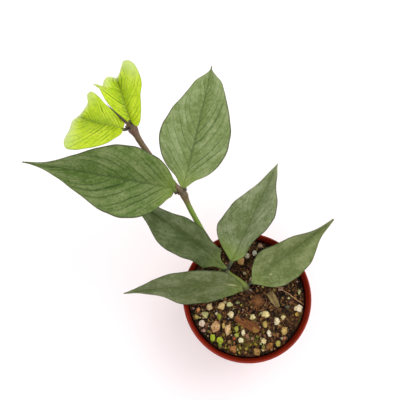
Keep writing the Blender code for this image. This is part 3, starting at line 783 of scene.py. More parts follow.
grainTones = {
    "grain_amber": ("#A87238", "#6E4420"), "grain_back_grey": ("#C4BCA4", "#928A74"),
    "grain_back_large": ("#D0A468", "#A87440"), "grain_back_pink": ("#B99A80", "#8C6A50"),
    "grain_back_white": ("#E0DACA", "#B4AE9C"), "grain_blush": ("#E4D2BC", "#B08A6A"),
    "grain_brown_small": ("#94683E", "#5E4024"), "grain_buff": ("#D8C38E", "#A8854E"),
    "grain_by_stem": ("#E2CDB8", "#B4713E"), "grain_cream_centre": ("#E4D9A4", "#BDA765"),
    "grain_cream_front": ("#E2D5A0", "#B99C5E"), "grain_cream_left": ("#E6D7A8", "#BFA467"),
    "grain_cream_narrow": ("#E6DCB4", "#B9A872"), "grain_cream_right": ("#E5DAB2", "#BFA878"),
    "grain_cream_small": ("#DDD09A", "#AE9A58"), "grain_green_centre": ("#A9A84A", "#76782C"),
    "grain_grey_green": ("#B5B078", "#86844E"), "grain_ivory": ("#EBE6BC", "#BDB67A"),
    "grain_lime_left": ("#A8B838", "#74861E"), "grain_lime_right": ("#B4BE3C", "#7C8A22"),
    "grain_moss": ("#8E9432", "#5E661E"), "grain_ochre": ("#A8854A", "#74542A"),
    "grain_olive_front": ("#B7AA56", "#857A34"), "grain_olive_small": ("#B6A25C", "#857236"),
    "grain_orange_small": ("#C98C58", "#96582E"), "grain_peach_large": ("#D2AC7C", "#A8774A"),
    "grain_pitted": ("#E2D294", "#8A6C38"), "grain_porous": ("#B8824C", "#7C4E26"),
    "grain_ringed": ("#D6BE84", "#A0763E"), "grain_rose_small": ("#BE9484", "#8E6050"),
    "grain_rust_small": ("#9C5E36", "#66381E"), "grain_sage": ("#CFCB92", "#9AA060"),
    "grain_straw_long": ("#CDB06A", "#9C7C40"), "grain_tan_long": ("#D8B684", "#A87C4A"),
    "grain_tan_olive": ("#B9A25A", "#857238"), "grain_white_front": ("#EDE3C2", "#C0A878"),
    "grain_white_large": ("#F1E6C8", "#C8AE7C"),
}


def pumiceStone():
    # pumice: bubbles 0.2 to 0.6 mm across leave a chalky skin with small pits, painted darker as painted
    # shade
    material, tree, shader = startMaterial("pumiceStone")
    place = addNode(tree, "ShaderNodeTexCoord").outputs["Object"]
    face = addNode(tree, "ShaderNodeAttribute", {"attribute_name": "face"})
    stain = addNode(tree, "ShaderNodeAttribute", {"attribute_name": "stain"})
    blots = addNode(tree, "ShaderNodeTexNoise", None,
                    {"Vector": place, "Scale": 520, "Detail": 5, "Roughness": 0.65})
    share = addNode(tree, "ShaderNodeMapRange", None,
                    {"Value": blots.outputs["Fac"], "From Min": 0.46, "From Max": 0.66})
    body = addNode(tree, "ShaderNodeMix", {"data_type": 'RGBA'},
                   {"Factor": share.outputs["Result"], "A": face.outputs["Color"],
                    "B": stain.outputs["Color"]})
    bubbles = addNode(tree, "ShaderNodeTexVoronoi", None, {"Vector": place, "Scale": 1900, "Randomness": 1})
    # the pits are painted darker where the bump sinks: painted shade in the hollows
    pitShade = addNode(tree, "ShaderNodeMapRange", None,
                   {"Value": bubbles.outputs["Distance"], "From Min": 0.08, "From Max": 0.36,
                    "To Min": 0.45, "To Max": 1.0})
    pitted = addNode(tree, "ShaderNodeVectorMath", {"operation": 'SCALE'},
                     {0: body.outputs["Result"], "Scale": pitShade.outputs["Result"]})
    tree.links.new(pitted.outputs["Vector"], shader.inputs["Base Color"])
    shader.inputs["Roughness"].default_value = 0.92
    shader.inputs["Specular IOR Level"].default_value = 0.2
    bump = addNode(tree, "ShaderNodeBump", None,
                   {"Height": bubbles.outputs["Distance"], "Strength": 0.7, "Distance": 0.00035})
    tree.links.new(bump.outputs["Normal"], shader.inputs["Normal"])
    return material


# loose stones that are not in the frame: place as shares of the mix radius, half sizes in mm, colour
looseStones = (
    (-0.74, -0.13, 1.3, 1.2, "#7A4632"), (-0.93, -0.20, 1.1, 1.0, "#8C6A5E"),
    (-0.52, -0.29, 1.1, 1.1, "#C2BA96"), (-0.15, -0.11, 1.4, 1.0, "#8E9060"),
    (-0.40, -0.49, 1.0, 1.9, "#C8A95E"), (-0.19, -0.65, 1.5, 1.3, "#B8BA58"),
    (0.00, -0.68, 1.2, 1.8, "#9C7058"), (-0.66, -0.59, 1.0, 0.9, "#7E7A40"),
    (-0.47, -0.82, 1.2, 1.6, "#6E7A2A"), (-0.31, -0.76, 1.4, 1.2, "#9A7848"),
    (0.14, -0.57, 2.0, 1.8, "#A67A3C"), (0.17, -0.68, 1.1, 1.0, "#7C7A2C"),
    (0.26, -0.84, 1.0, 1.5, "#8C8A40"), (0.13, -0.80, 1.1, 0.8, "#B09A30"),
    (0.92, 0.06, 1.0, 1.7, "#B0AC74"), (0.86, -0.31, 1.3, 1.2, "#B8964A"),
    (0.70, -0.18, 1.5, 1.3, "#5E6048"), (0.60, 0.12, 1.7, 1.4, "#A8846C"),
    (0.07, 0.10, 1.0, 0.9, "#CFC6B4"), (0.24, -0.10, 0.9, 0.8, "#B8743A"),
    (0.08, -0.71, 1.1, 1.0, "#A07C64"), (-0.02, 0.40, 1.4, 1.2, "#C0A888"),
    (0.20, 0.55, 1.2, 1.1, "#D8CEB0"), (-0.25, 0.75, 1.3, 1.2, "#A88A60"),
    (-0.60, 0.15, 1.3, 1.1, "#B89C6A"), (0.45, 0.62, 1.5, 1.2, "#9A8A6A"),
    (-0.45, 0.45, 1.4, 1.1, "#8E7A4A"),
)


def brokenStone(name, centre, half, seed, steps):
    # a round planed off on a few random sides, then roughened
    deselectAll()
    bpy.ops.mesh.primitive_ico_sphere_add(subdivisions=steps, radius=1, location=(0, 0, 0))
    grain = bpy.context.active_object
    grain.name = name
    co = readPoints(grain)
    dice = random.Random(seed)
    for _ in range(11):
        way = Vector((dice.gauss(0, 1), dice.gauss(0, 1), dice.gauss(0, 1))).normalized()
        over = co @ np.array(way) - dice.uniform(0.6, 0.86)
        co -= np.outer(np.clip(over, 0, None) * 0.9, np.array(way))
    for i, p in enumerate(co):
        push = noise.noise(Vector(p) * 1.5 + Vector((seed * 3.7, 0, 0))) * 0.2
        push += noise.noise(Vector(p) * 4.0 + Vector((0, seed * 1.9, 0))) * 0.08
        push -= max(0.0, noise.noise(Vector(p) * 7.0 + Vector((0, 0, seed))) - 0.15) * 0.25
        co[i] = p * (1.04 + push)
    co = co / np.abs(co).max(0) * np.array(half) * 1.05
    writePoints(grain, co + np.array(centre))
    bpy.ops.object.shade_smooth()
    return grain, co[:, 2] / half[2]


def tintStone(grain, height, face, stain, stone):
    # the lower side is painted darker: painted shade under the grain, together with damp from the mix
    damp = (0.3 + 0.7 * smoothStep(-0.55, 0.25, height))[:, None]
    paintPoints(grain, "face", np.array(toLinear(face)[:3]) * damp)
    paintPoints(grain, "stain", np.array(toLinear(stain)[:3]) * damp)
    grain.data.materials.append(stone)


def makeGrains():
    stone = pumiceStone()
    for seed, (name, (centre, half)) in enumerate(zip(grainNames, grainSpots)):
        title = "pumice" + "".join(part.capitalize() for part in name.split("_")[1:])
        if name.startswith("grain_back"):          # washed clean by watering, so they stand prouder
            centre = centre + Vector((0, 0, 0.7)) * mm
        if name == "grain_by_stem":                # leans against the stem
            centre = centre + Vector((-1.2, 1.3, 1.0)) * mm
        grain, height = brokenStone(title, centre, half, seed, 4)
        tintStone(grain, height, *grainTones[name], stone)
        finishPiece(grain, [name])
    for seed, (x, y, a, b, code) in enumerate(looseStones):
        x, y = x * mixRadius, y * mixRadius
        spot = Vector((x, y, mixHeight(x, y) + 0.35 * b * mm))
        grain, height = brokenStone(f"looseStone{seed}", spot, Vector((a, b, min(a, b) * 0.9)) * mm,
                                    seed + 60, 3)
        dark = "#%02X%02X%02X" % tuple(int(int(code[i:i + 2], 16) * 0.66) for i in (1, 3, 5))
        tintStone(grain, height, code, dark, stone)
        finishPiece(grain, None)
    print("pumice grains:", len(grainNames), "and", len(looseStones), "loose stones")


makeGrains()


leafSettings = {
    "along": 120,
    "across": 48,
    "thickness": 0.75 * mm,
    "youngThickness": 0.45 * mm,
    "edgeShare": 0.35,
    "veinRelief": 0.035 * mm,
    "veinCount": 12.0,
    "veinSlant": 0.36,
    "youngVeinSlant": 0.26,
    "stalkRadius": 1.15 * mm,
    "sides": 12,
}

leafTones = {
    # rich flesh colour, waxy grey-green and vein colour; how strongly the veins show; glow at the base
    "leaf_lower_left": ("#4A5826", "#79825C", "#3C481E", 0.35, 0.35),
    "leaf_lower_right": ("#586630", "#848E5E", "#46542A", 0.35, 0.25),
    "leaf_middle_left": ("#445426", "#6E7A52", "#33421C", 0.45, 0.45),
    "leaf_middle_right": ("#5E6E3C", "#949E78", "#48562E", 0.5, 0.9),
    "leaf_upper_left": ("#46601C", "#7C8A56", "#2C4410", 1.0, 0.6),
    "leaf_upper_right": ("#66793C", "#94A172", "#42582A", 0.95, 0.8),
    "young_leaf_left": ("#A6BE04", "#C2D030", "#547602", 1.25, 0.2),
    "young_leaf_right": ("#AEC804", "#CEDC34", "#527402", 1.25, 0.2),
}


def leafBlade(young):
    # waxy leaf: matt cuticle over fleshy tissue, fine pale speckle, dark slanting veins, thin dark margin
    material, tree, shader = startMaterial("youngHoyaBlade" if young else "waxyHoyaBlade")
    times, timesPlus, minus = ({"operation": kind} for kind in ('MULTIPLY', 'MULTIPLY_ADD', 'SUBTRACT'))
    soft, colours = {"interpolation_type": 'SMOOTHSTEP'}, {"data_type": 'RGBA'}
    coords = addNode(tree, "ShaderNodeTexCoord")
    place = coords.outputs["Object"]
    split = addNode(tree, "ShaderNodeSeparateXYZ", None, {0: coords.outputs["UV"]})
    along, across = split.outputs["X"], split.outputs["Y"]
    painted = {name: addNode(tree, "ShaderNodeAttribute", {"attribute_name": name})
               for name in ("face", "light", "veinTone", "veinShow", "glow", "marks")}
    face, light, veinTone = (painted[name].outputs["Color"] for name in ("face", "light", "veinTone"))
    show, glow, marks = (painted[name].outputs["Fac"] for name in ("veinShow", "glow", "marks"))

    # share of the way from the midrib to the margin, and which half
    signed = addNode(tree, "ShaderNodeMath", timesPlus, {0: across, 1: 2.0, 2: -1.0})
    out = addNode(tree, "ShaderNodeMath", {"operation": 'ABSOLUTE'}, {0: signed})
    right = addNode(tree, "ShaderNodeMath", {"operation": 'GREATER_THAN'}, {0: across, 1: 0.5})

    # side veins leave the midrib at a sharp angle and run nearly straight to the margin
    slant = leafSettings["youngVeinSlant" if young else "veinSlant"]
    bowed = addNode(tree, "ShaderNodeMath", {"operation": 'POWER'}, {0: out, 1: 1.15})
    lean = addNode(tree, "ShaderNodeMath", times, {0: bowed, 1: slant})
    leaned = addNode(tree, "ShaderNodeMath", minus, {0: along, 1: lean})
    staggered = addNode(tree, "ShaderNodeMath", timesPlus, {0: right, 1: 0.043, 2: leaned})
    spread = addNode(tree, "ShaderNodeMath", times, {0: staggered, 1: 9.0})
    lane = addNode(tree, "ShaderNodeMath", timesPlus, {0: right, 1: 9.0, 2: spread})
    uneven = addNode(tree, "ShaderNodeTexNoise", {"noise_dimensions": '1D'},
                     {"W": lane, "Scale": 1.0, "Detail": 1})
    wander = addNode(tree, "ShaderNodeTexNoise", None, {"Vector": place, "Scale": 130, "Detail": 2})
    wandered = addNode(tree, "ShaderNodeMath", timesPlus, {0: wander, 1: 0.022, 2: staggered})
    order = addNode(tree, "ShaderNodeMath", timesPlus, {0: uneven, 1: 0.1, 2: wandered})
    counted = addNode(tree, "ShaderNodeMath", times, {0: order, 1: leafSettings["veinCount"] * 2})
    wave = addNode(tree, "ShaderNodeMath", {"operation": 'PINGPONG'}, {0: counted, 1: 1.0})
    line = addNode(tree, "ShaderNodeMapRange", soft,
                   {"Value": wave, "From Min": 0.02, "From Max": 0.15, "To Min": 1.0, "To Max": 0.0})
    fade = addNode(tree, "ShaderNodeMapRange", soft,
                   {"Value": out, "From Min": 0.5, "From Max": 0.98, "To Min": 1.0, "To Max": 0.3})
    faded = addNode(tree, "ShaderNodeMath", times, {0: line, 1: fade})
    shown = addNode(tree, "ShaderNodeMath", times, {0: faded, 1: show})
    breaks = addNode(tree, "ShaderNodeTexNoise", None, {"Vector": place, "Scale": 230, "Detail": 2})
    broken = addNode(tree, "ShaderNodeMapRange", soft,       # veins come and go
                     {"Value": breaks, "From Min": 0.35, "From Max": 0.6, "To Min": 0.55, "To Max": 1.0})
    vein = addNode(tree, "ShaderNodeMath", times, {0: shown, 1: broken})
    # a soft darker band follows each vein, a paler one lies between
    halo = addNode(tree, "ShaderNodeMapRange", soft,
                   {"Value": wave, "From Min": 0.0, "From Max": 0.6, "To Min": 1.0, "To Max": 0.0})
    haloShow = addNode(tree, "ShaderNodeMath", times, {0: show, 1: 0.3})
    band = addNode(tree, "ShaderNodeMath", times, {0: halo, 1: haloShow})

    # blotches that run along the veins: rich green flesh under the wax, or grey wax
    runX = addNode(tree, "ShaderNodeMath", times, {0: order, 1: 11.0})
    runY = addNode(tree, "ShaderNodeMath", times, {0: out, 1: 1.5})
    runZ = addNode(tree, "ShaderNodeMath", times, {0: right, 1: 7.0})
    lanes = addNode(tree, "ShaderNodeCombineXYZ", None, {0: runX, 1: runY, 2: runZ})
    blotch = addNode(tree, "ShaderNodeTexNoise", None,
                     {"Vector": lanes, "Scale": 1.3, "Detail": 4, "Roughness": 0.6})
    cloud = addNode(tree, "ShaderNodeTexNoise", None,
                    {"Vector": place, "Scale": 120, "Detail": 6, "Roughness": 0.72})
    speckle = addNode(tree, "ShaderNodeTexNoise", None,
                      {"Vector": place, "Scale": 620, "Detail": 4, "Roughness": 0.85})
    blotched = addNode(tree, "ShaderNodeMapRange", soft,
                       {"Value": blotch, "From Min": 0.36, "From Max": 0.64, "To Max": 0.5})
    blotchShow = addNode(tree, "ShaderNodeMath", times, {0: blotched, 1: show})
    cloudShare = addNode(tree, "ShaderNodeMath", timesPlus, {0: show, 1: -0.3, 2: 0.85})
    clouded = addNode(tree, "ShaderNodeMapRange", soft,
                      {"Value": cloud, "From Min": 0.4, "From Max": 0.62, "To Max": cloudShare})
    patchy = addNode(tree, "ShaderNodeMath", {"operation": 'ADD'}, {0: blotchShow, 1: clouded})
    # the flesh is greener along the midrib
    ribSide = addNode(tree, "ShaderNodeMapRange", soft,
                      {"Value": out, "From Min": 0.05, "From Max": 0.5, "To Min": 1.0, "To Max": 0.0})
    ribRun = addNode(tree, "ShaderNodeMapRange", soft, {"Value": along, "From Min": 0.1, "From Max": 0.45})
    nearRib = addNode(tree, "ShaderNodeMath", times, {0: ribSide, 1: ribRun})
    ribShare = addNode(tree, "ShaderNodeMath", times, {0: nearRib, 1: 0.45})
    mottle = addNode(tree, "ShaderNodeMath", minus, {0: patchy, 1: ribShare})
    waxed = addNode(tree, "ShaderNodeMix", colours, {"Factor": mottle, "A": face, "B": light})

    # fine net of veinlets, cells about 1.6 mm
    cells = addNode(tree, "ShaderNodeTexVoronoi", {"feature": 'DISTANCE_TO_EDGE'},
                    {"Vector": place, "Scale": 620})
    net = addNode(tree, "ShaderNodeMapRange", soft, {"Value": cells.outputs["Distance"], "From Min": 0.0,
                                                     "From Max": 0.14, "To Min": 0.4, "To Max": 0.0})
    netted = addNode(tree, "ShaderNodeMath", {"operation": 'ADD'}, {0: net, 1: band})
    colour = addNode(tree, "ShaderNodeMix", colours, {"Factor": netted, "A": waxed, "B": face})
    if young:                                      # deeper green along the midrib
        deepSide = addNode(tree, "ShaderNodeMapRange", soft,
                           {"Value": out, "From Min": 0.0, "From Max": 0.55, "To Min": 0.4, "To Max": 0.0})
        deepRun = addNode(tree, "ShaderNodeMapRange", soft,
                          {"Value": along, "From Min": 0.0, "From Max": 0.25})
        deep = addNode(tree, "ShaderNodeMath", times, {0: deepSide, 1: deepRun})
        colour = addNode(tree, "ShaderNodeMix", colours, {"Factor": deep, "A": colour, "B": veinTone})
    grit = addNode(tree, "ShaderNodeMapRange", soft,
                   {"Value": speckle, "From Min": 0.5, "From Max": 0.68, "To Max": 0.6})
    colour = addNode(tree, "ShaderNodeMix", colours, {"Factor": grit, "A": colour, "B": light})
    pores = addNode(tree, "ShaderNodeMapRange", soft,
                    {"Value": speckle, "From Min": 0.47, "From Max": 0.33, "To Max": 0.55})
    colour = addNode(tree, "ShaderNodeMix", colours, {"Factor": pores, "A": colour, "B": veinTone})
    drawn = addNode(tree, "ShaderNodeMath", times, {0: vein, 1: 0.95})
    colour = addNode(tree, "ShaderNodeMix", colours, {"Factor": drawn, "A": colour, "B": veinTone})
    # yellow-green wedge where the blade joins its stalk
    wedgeRun = addNode(tree, "ShaderNodeMapRange", soft,
                       {"Value": along, "From Min": 0.02, "From Max": 0.24, "To Min": 1.0, "To Max": 0.0})
    wedgeGlow = addNode(tree, "ShaderNodeMath", times, {0: glow, 1: 0.75})
    wedge = addNode(tree, "ShaderNodeMath", times, {0: wedgeRun, 1: wedgeGlow})
    colour = addNode(tree, "ShaderNodeMix", colours,
                     {"Factor": wedge, "A": colour, "B": toLinear("#B4CC1C" if young else "#7C9430")})
    midrib = addNode(tree, "ShaderNodeMapRange", soft,
                     {"Value": out, "From Min": 0.01, "From Max": 0.05, "To Min": 1.0, "To Max": 0.0})
    midribShare = addNode(tree, "ShaderNodeMath", times, {0: midrib, 1: 0.7})
    colour = addNode(tree, "ShaderNodeMix", colours, {"Factor": midribShare, "A": colour, "B": veinTone})
    margin = addNode(tree, "ShaderNodeMapRange", soft, {"Value": out, "From Min": 0.945, "From Max": 0.99})
    marginShare = addNode(tree, "ShaderNodeMath", times, {0: margin, 1: 0.75})
    colour = addNode(tree, "ShaderNodeMix", colours,
                     {"Factor": marginShare, "A": colour, "B": toLinear("#7F9426" if young else "#2E3A20")})
    colour = addNode(tree, "ShaderNodeMix", colours,
                     {"Factor": marks, "A": colour, "B": toLinear("#BECB8C" if young else "#B9B88A")})
    tree.links.new(colour.outputs["Result"], shader.inputs["Base Color"])

    satin = (0.36, 0.5) if young else (0.44, 0.58)           # wax is smoother on the young blades
    rough = addNode(tree, "ShaderNodeMapRange", soft,
                    {"Value": speckle, "From Min": 0.3, "From Max": 0.7, "To Min": satin[0],
                     "To Max": satin[1]})
    tree.links.new(rough.outputs["Result"], shader.inputs["Roughness"])
    sunk = addNode(tree, "ShaderNodeMath", {"operation": 'ADD'}, {0: vein, 1: midrib})
    sunken = addNode(tree, "ShaderNodeMath", times, {0: sunk, 1: -1.0})
    relief = addNode(tree, "ShaderNodeMath", timesPlus, {0: speckle, 1: 0.35, 2: sunken})
    bump = addNode(tree, "ShaderNodeBump", None, {"Height": relief, "Strength": 0.6, "Distance": 0.0002})
    tree.links.new(bump.outputs["Normal"], shader.inputs["Normal"])
    shader.inputs["IOR"].default_value = 1.42
    shader.inputs["Specular IOR Level"].default_value = 0.3
    if young:                                      # thin tissue lets light through
        shader.inputs["Subsurface Weight"].default_value = 0.35
        shader.inputs["Subsurface Radius"].default_value = (0.6, 1.0, 0.15)
        shader.inputs["Subsurface Scale"].default_value = 0.0012
    return material


def stalkSkin():
    # smooth stem skin: green, purple-brown or nearly black by place, with fine lengthwise streaks
    material, tree, shader = startMaterial("hoyaStemSkin")
    place = addNode(tree, "ShaderNodeTexCoord").outputs["Object"]
    skin = addNode(tree, "ShaderNodeAttribute", {"attribute_name": "skin"}).outputs["Color"]
    streak = addNode(tree, "ShaderNodeTexNoise", None,
                     {"Vector": place, "Scale": 900, "Detail": 4, "Roughness": 0.7})
    shade = addNode(tree, "ShaderNodeMapRange", None,
                    {"Value": streak.outputs["Fac"], "From Min": 0.3, "From Max": 0.7, "To Min": 0.78,
                     "To Max": 1.18})
    colour = addNode(tree, "ShaderNodeVectorMath", {"operation": 'SCALE'},
                     {0: skin, "Scale": shade.outputs["Result"]})
    tree.links.new(colour.outputs["Vector"], shader.inputs["Base Color"])
    shader.inputs["Roughness"].default_value = 0.45
    shader.inputs["IOR"].default_value = 1.42
    bump = addNode(tree, "ShaderNodeBump", None,
                   {"Height": streak.outputs["Fac"], "Strength": 0.35, "Distance": 0.0002})
    tree.links.new(bump.outputs["Normal"], shader.inputs["Normal"])
    return material


bladeMaterial = leafBlade(False)
youngMaterial = leafBlade(True)
skinMaterial = stalkSkin()


leafTrims = {
    # place along the blade, reach, share of the width added, side (0 both, 1 left, -1 right), lift in mm
    "leaf_upper_right": ((0.88, 0.07, 0.42, 0, 0), (0.975, 0.02, -0.35, 0, 0), (0.78, 0.1, 0.14, -1, 0)),
    "leaf_middle_left": ((0.32, 0.14, 0.16, -1, 1.5),),
    "leaf_lower_left": ((0.9, 0.05, -0.25, 0, 0), (0.3, 0.12, 0.12, 1, 0)),
    "leaf_middle_right": ((0.2, 0.13, -0.34, -1, 0), (0.22, 0.15, 0.12, 1, 0)),
}
stemShifts = {"middle": (-1.8, -2.8, 0), "lower": (-0.4, 0.2, 0), "upper": (1.0, -2.0, 0),
              "young": (2.2, -1.8, 0)}
# a blade whose foot lies over the stem: how far back it starts, mm; its first rings' widths, times
# the frame's; how far those rings are raised, mm
leafRoots = {
    "leaf_lower_left": ((1.6, -2.6, -0.5), (1.8, 1.3, 1.0), (2.4, 1.5, 0.7)),
    "leaf_middle_left": ((6.4, -6.6, -0.5), (4.6, 2.4, 1.3), (2.6, 1.6, 0.8)),
    "leaf_upper_left": ((1.4, -2.4, 0.2), (2.2, 2.6, 1.05), (0.3, 0.2, 0)),
    "leaf_upper_right": ((0.9, -2.8, 0), (2.2, 3.0, 1.08), (0.2, 0, 0)),
}

youngShapes = {
    # outlines in mm from the foot of the blade, as seen from the camera's place; the far ends turn down
    "young_leaf_left": {
        "foot": (0.1, -2.6), "fold": (8, 22), "drop": 3.5, "size": (1.13, 1.22),
        "midrib": ((0, 0), (-4.8, 1.9), (-13.3, 3.8), (-18.3, 5.3), (-23, 6.9)),
        "upper": ((0, 0), (0.6, 1.4), (-8.9, 12.5), (-10.8, 14.5), (-13.3, 17.2), (-18.0, 19.7),
                  (-19.0, 18.6), (-18.4, 15), (-20.6, 10.3), (-23, 6.9)),
        "lower": ((0, 0), (-0.4, -2.2), (-3.6, -4.7), (-7, -6.9), (-13.3, -8.8), (-18.3, -9.4),
                  (-23.6, -9.7), (-28, -8.5), (-28.8, -6.9), (-26.8, 0.6), (-25.5, 5), (-23, 6.9)),
    },
    "young_leaf_right": {
        "foot": (2.1, -1.0), "fold": (34, 8), "drop": 3.0, "size": (1.13, 1.33),
        "midrib": ((0, 0), (-3, 6.2), (-5.6, 13.5), (-8.4, 20.6)),
        "upper": ((0, 0), (1.2, -1.9), (2.8, -2.6), (4.2, -0.6), (4.7, 3.2), (4.5, 8), (4.1, 12.5),
                  (4.8, 17), (4.2, 21), (2.3, 25), (-0.6, 28.6), (-3.0, 29.8), (-6.0, 29.4),
                  (-6.8, 27.2), (-7.1, 23.6), (-8.4, 20.6)),
        "lower": ((0, 0), (-1.6, -1.2), (-3.5, -0.9), (-9.3, 5.5), (-13.3, 9.7), (-16.6, 14.6),
                  (-18, 16.4), (-20.6, 18.1), (-15.8, 16.6), (-15.1, 19.4), (-13.3, 21.3),
                  (-10.4, 20.9), (-8.4, 20.6)),
    },
}


def youngSurface(node, t, s):
    # a young blade laid out from its outline, lying on the frame leaf's own rise and fall
    middle = leafSurface(node)[0]
    shape = youngShapes[node]
    start = middle[3][0]
    foot = start + np.array([*(v * mm for v in shape["foot"]), 1.2 * mm])

    def along(points, t):
        points = np.array(points, float) * shape["size"] * mm
        gaps = np.linalg.norm(np.diff(points, axis=0), axis=1)
        knots = np.concatenate([[0], np.cumsum(gaps)]) / gaps.sum()
        return hermite(knots, points, t)

    core = along(shape["midrib"], t)
    edge = np.where((s > 0)[:, None], along(shape["upper"], t), along(shape["lower"], t))
    flat = core + (edge - core) * np.abs(s)[:, None]
    # height: the frame leaf's midrib, stretched to this blade's reach
    reach = np.linalg.norm(middle[3][:, :2] - start[:2], axis=1)
    far = np.linalg.norm(np.array(shape["midrib"][-1]) * shape["size"] * mm)
    share = np.linalg.norm(core, axis=1) / far
    rise = np.interp(share * reach[-1] * 0.72, reach, middle[3][:, 2] - start[2])
    tilt = np.where(s > 0, *(math.tan(math.radians(a)) for a in shape["fold"]))
    aside = np.linalg.norm(flat - core, axis=1)
    height = foot[2] + rise + tilt * aside * smoothStep(0, 0.15, t)
    height -= shape["drop"] * mm * smoothStep(0.86, 1.0, t) * (0.4 + 0.6 * np.abs(s))
    height -= shape["drop"] * 0.5 * mm * smoothStep(0.5, 0.7, t) * smoothStep(0.8, 1.0, np.abs(s))
    eye = np.array(cameraSettings["place"])
    lay = np.column_stack([foot[0] + flat[:, 0], foot[1] + flat[:, 1], np.full(len(t), foot[2])])
    return eye + (lay - eye) * ((eye[2] - height) / (eye[2] - foot[2]))[:, None]


def leafSurface(node):
    # middle surface, face direction and run length of a leaf solid, ring by ring
    tip, rings = loftRings(node, leafSettings["sides"])
    spans = np.linalg.norm(rings[:, :6] - rings[:, 6:], axis=2)
    widest = spans.max(1).argmax()
    rings = np.roll(rings, -int(spans[widest].argmax()), axis=1)
    middle = [rings[:, 0], (rings[:, 1] + rings[:, 11]) / 2, (rings[:, 2] + rings[:, 10]) / 2,
              (rings[:, 3] + rings[:, 9]) / 2, (rings[:, 4] + rings[:, 8]) / 2,
              (rings[:, 5] + rings[:, 7]) / 2, rings[:, 6]]
    face = rings[:, 3] - rings[:, 9]
    face /= np.linalg.norm(face, axis=1)[:, None]
    middle = np.array(middle)
    if face[0][2] < 0:                             # the upper face looks up where the leaf leaves the stem
        middle, face = middle[::-1], -face
    middle = np.concatenate([middle, np.tile(tip, (7, 1, 1))], axis=1)
    face = np.concatenate([face, face[-1:]])
    if node in leafRoots:
        back, wider, raised = leafRoots[node]
        root = middle[:, :1] + np.array(back) * mm
        for i, share in enumerate(wider):
            core = middle[3, i].copy()
            middle[:, i] = core + (middle[:, i] - core) * share + face[i] * raised[i] * mm
        middle = np.concatenate([root, middle], axis=1)
        face = np.concatenate([face[:1], face])
    steps = np.linalg.norm(np.diff(middle[3], axis=0), axis=1)
    run = np.concatenate([[0], np.cumsum(steps)])
    span = np.linalg.norm(middle[6] - middle[0], axis=1)
    stalk = 0                                      # the last ring that is still stalk
    while span[stalk + 1] < 2.6 * mm:
        stalk += 1
    return middle, face, run, stalk


def acrossCurve(rows, s, out):
    # a smooth curve through the four points of each half, from the midrib to the margin
    knots = np.array([0, 0.5, 0.866, 1.0])
    pos = np.zeros_like(rows[0])
    for side in (1, -1):
        pick = s * side >= 0
        m = out[pick][:, None]
        value = np.zeros_like(pos[pick])
        for k in range(4):
            term = np.ones_like(m)
            for j in range(4):
                if j != k:
                    term = term * (m - knots[j]) / (knots[k] - knots[j])
            value += term * rows[3 - side * k][pick]
        pos[pick] = value
    return pos


def quilted(tt, s, out, wander):
    # rise and fall of the flesh between the veins, fading at the base, the tip and the margin
    slant = tt - leafSettings["veinSlant"] * out ** 1.15 + 0.045 * (s > 0)
    quilt = np.cos(2 * np.pi * (slant + wander) * leafSettings["veinCount"])
    body = smoothStep(0.0, 0.12, tt) * smoothStep(1.0, 0.9, tt) * smoothStep(1.0, 0.8, out)
    return -quilt * leafSettings["veinRelief"], body


def grownBlade(node, t, s, out, surface):
    # a full-grown blade: points, face directions, run along it, relief, edge rows and half width
    middle, face, run, stalk = surface
    length = run[-1] - run[stalk]
    spot = run[stalk] + length * (t - 0.06 * np.sin(2 * np.pi * t) / 2)   # bunched at the base and the tip
    rows = np.array([hermite(run, middle[k], spot) for k in range(7)])
    ups = hermite(run, face, spot)
    ups /= np.linalg.norm(ups, axis=1)[:, None]
    pos = acrossCurve(rows, s, out)
    width = np.linalg.norm(rows[6] - rows[0], axis=1) / 2
    tt = (spot - run[stalk]) / length
    wander = np.array([noise.noise(Vector(p) * 110) for p in pos]) * 0.035
    quilt, body = quilted(tt, s, out, wander)
    relief = quilt * body * leafTones[node][3]
    groove = -np.exp(-(out * width / (0.55 * mm)) ** 2) * 0.35 * mm * smoothStep(1.0, 0.85, tt)
    return pos, ups, tt, relief + groove, rows, width


def youngBlade(node, t, s, out):
    # a young blade: points, face directions and relief
    pos = youngSurface(node, t, s)
    step = 0.004
    gone = youngSurface(node, np.clip(t + step, 0, 1), s) - youngSurface(node, np.clip(t - step, 0, 1), s)
    side = youngSurface(node, t, np.clip(s + step, -1, 1)) - youngSurface(node, t, np.clip(s - step, -1, 1))
    ups = np.cross(gone, side)
    ups /= np.maximum(np.linalg.norm(ups, axis=1), 1e-12)[:, None]
    ups *= np.where(ups[:, 2:] < 0, -1, 1)
    quilt, body = quilted(t, s, out, 0)
    relief = quilt * 3 * body
    groove = -np.exp(-(out / 0.07) ** 2) * 0.4 * mm * smoothStep(1.0, 0.85, t) * smoothStep(0, 0.1, t)
    return pos, ups, relief + groove


def trimBlade(node, pos, ups, tt, s, rows, width, seed):
    # the margin is widened or narrowed where leafTrims says, then frayed by a few tenths
    flex = (rows[6] - rows[0]) / np.maximum(np.linalg.norm(rows[6] - rows[0], axis=1), 1e-9)[:, None]
    nibble = np.array([noise.noise(Vector((x * 9, y * 2, seed))) for x, y in zip(tt, np.sign(s))])
    heading = rows[3][-1] - rows[3][0]
    widest = rows[0][len(s) // 2] - rows[6][len(s) // 2]
    left = np.cross(heading, widest)[2] > 0        # is s = 1 the left side
    for place, reach, wider, side, lift in leafTrims.get(node, ()):
        weight = np.exp(-((tt - place) / reach) ** 2)
        if side:
            weight = weight * smoothStep(0, 0.5, s * side * (1 if left else -1))
        pos += -flex * (s * wider * width * weight)[:, None]
        pos += ups * (lift * mm * weight)[:, None]
    fray = s * nibble * 0.045 * width * smoothStep(0, 0.2, tt) * smoothStep(1.0, 0.85, tt)
    pos += -flex * fray[:, None]
    return pos


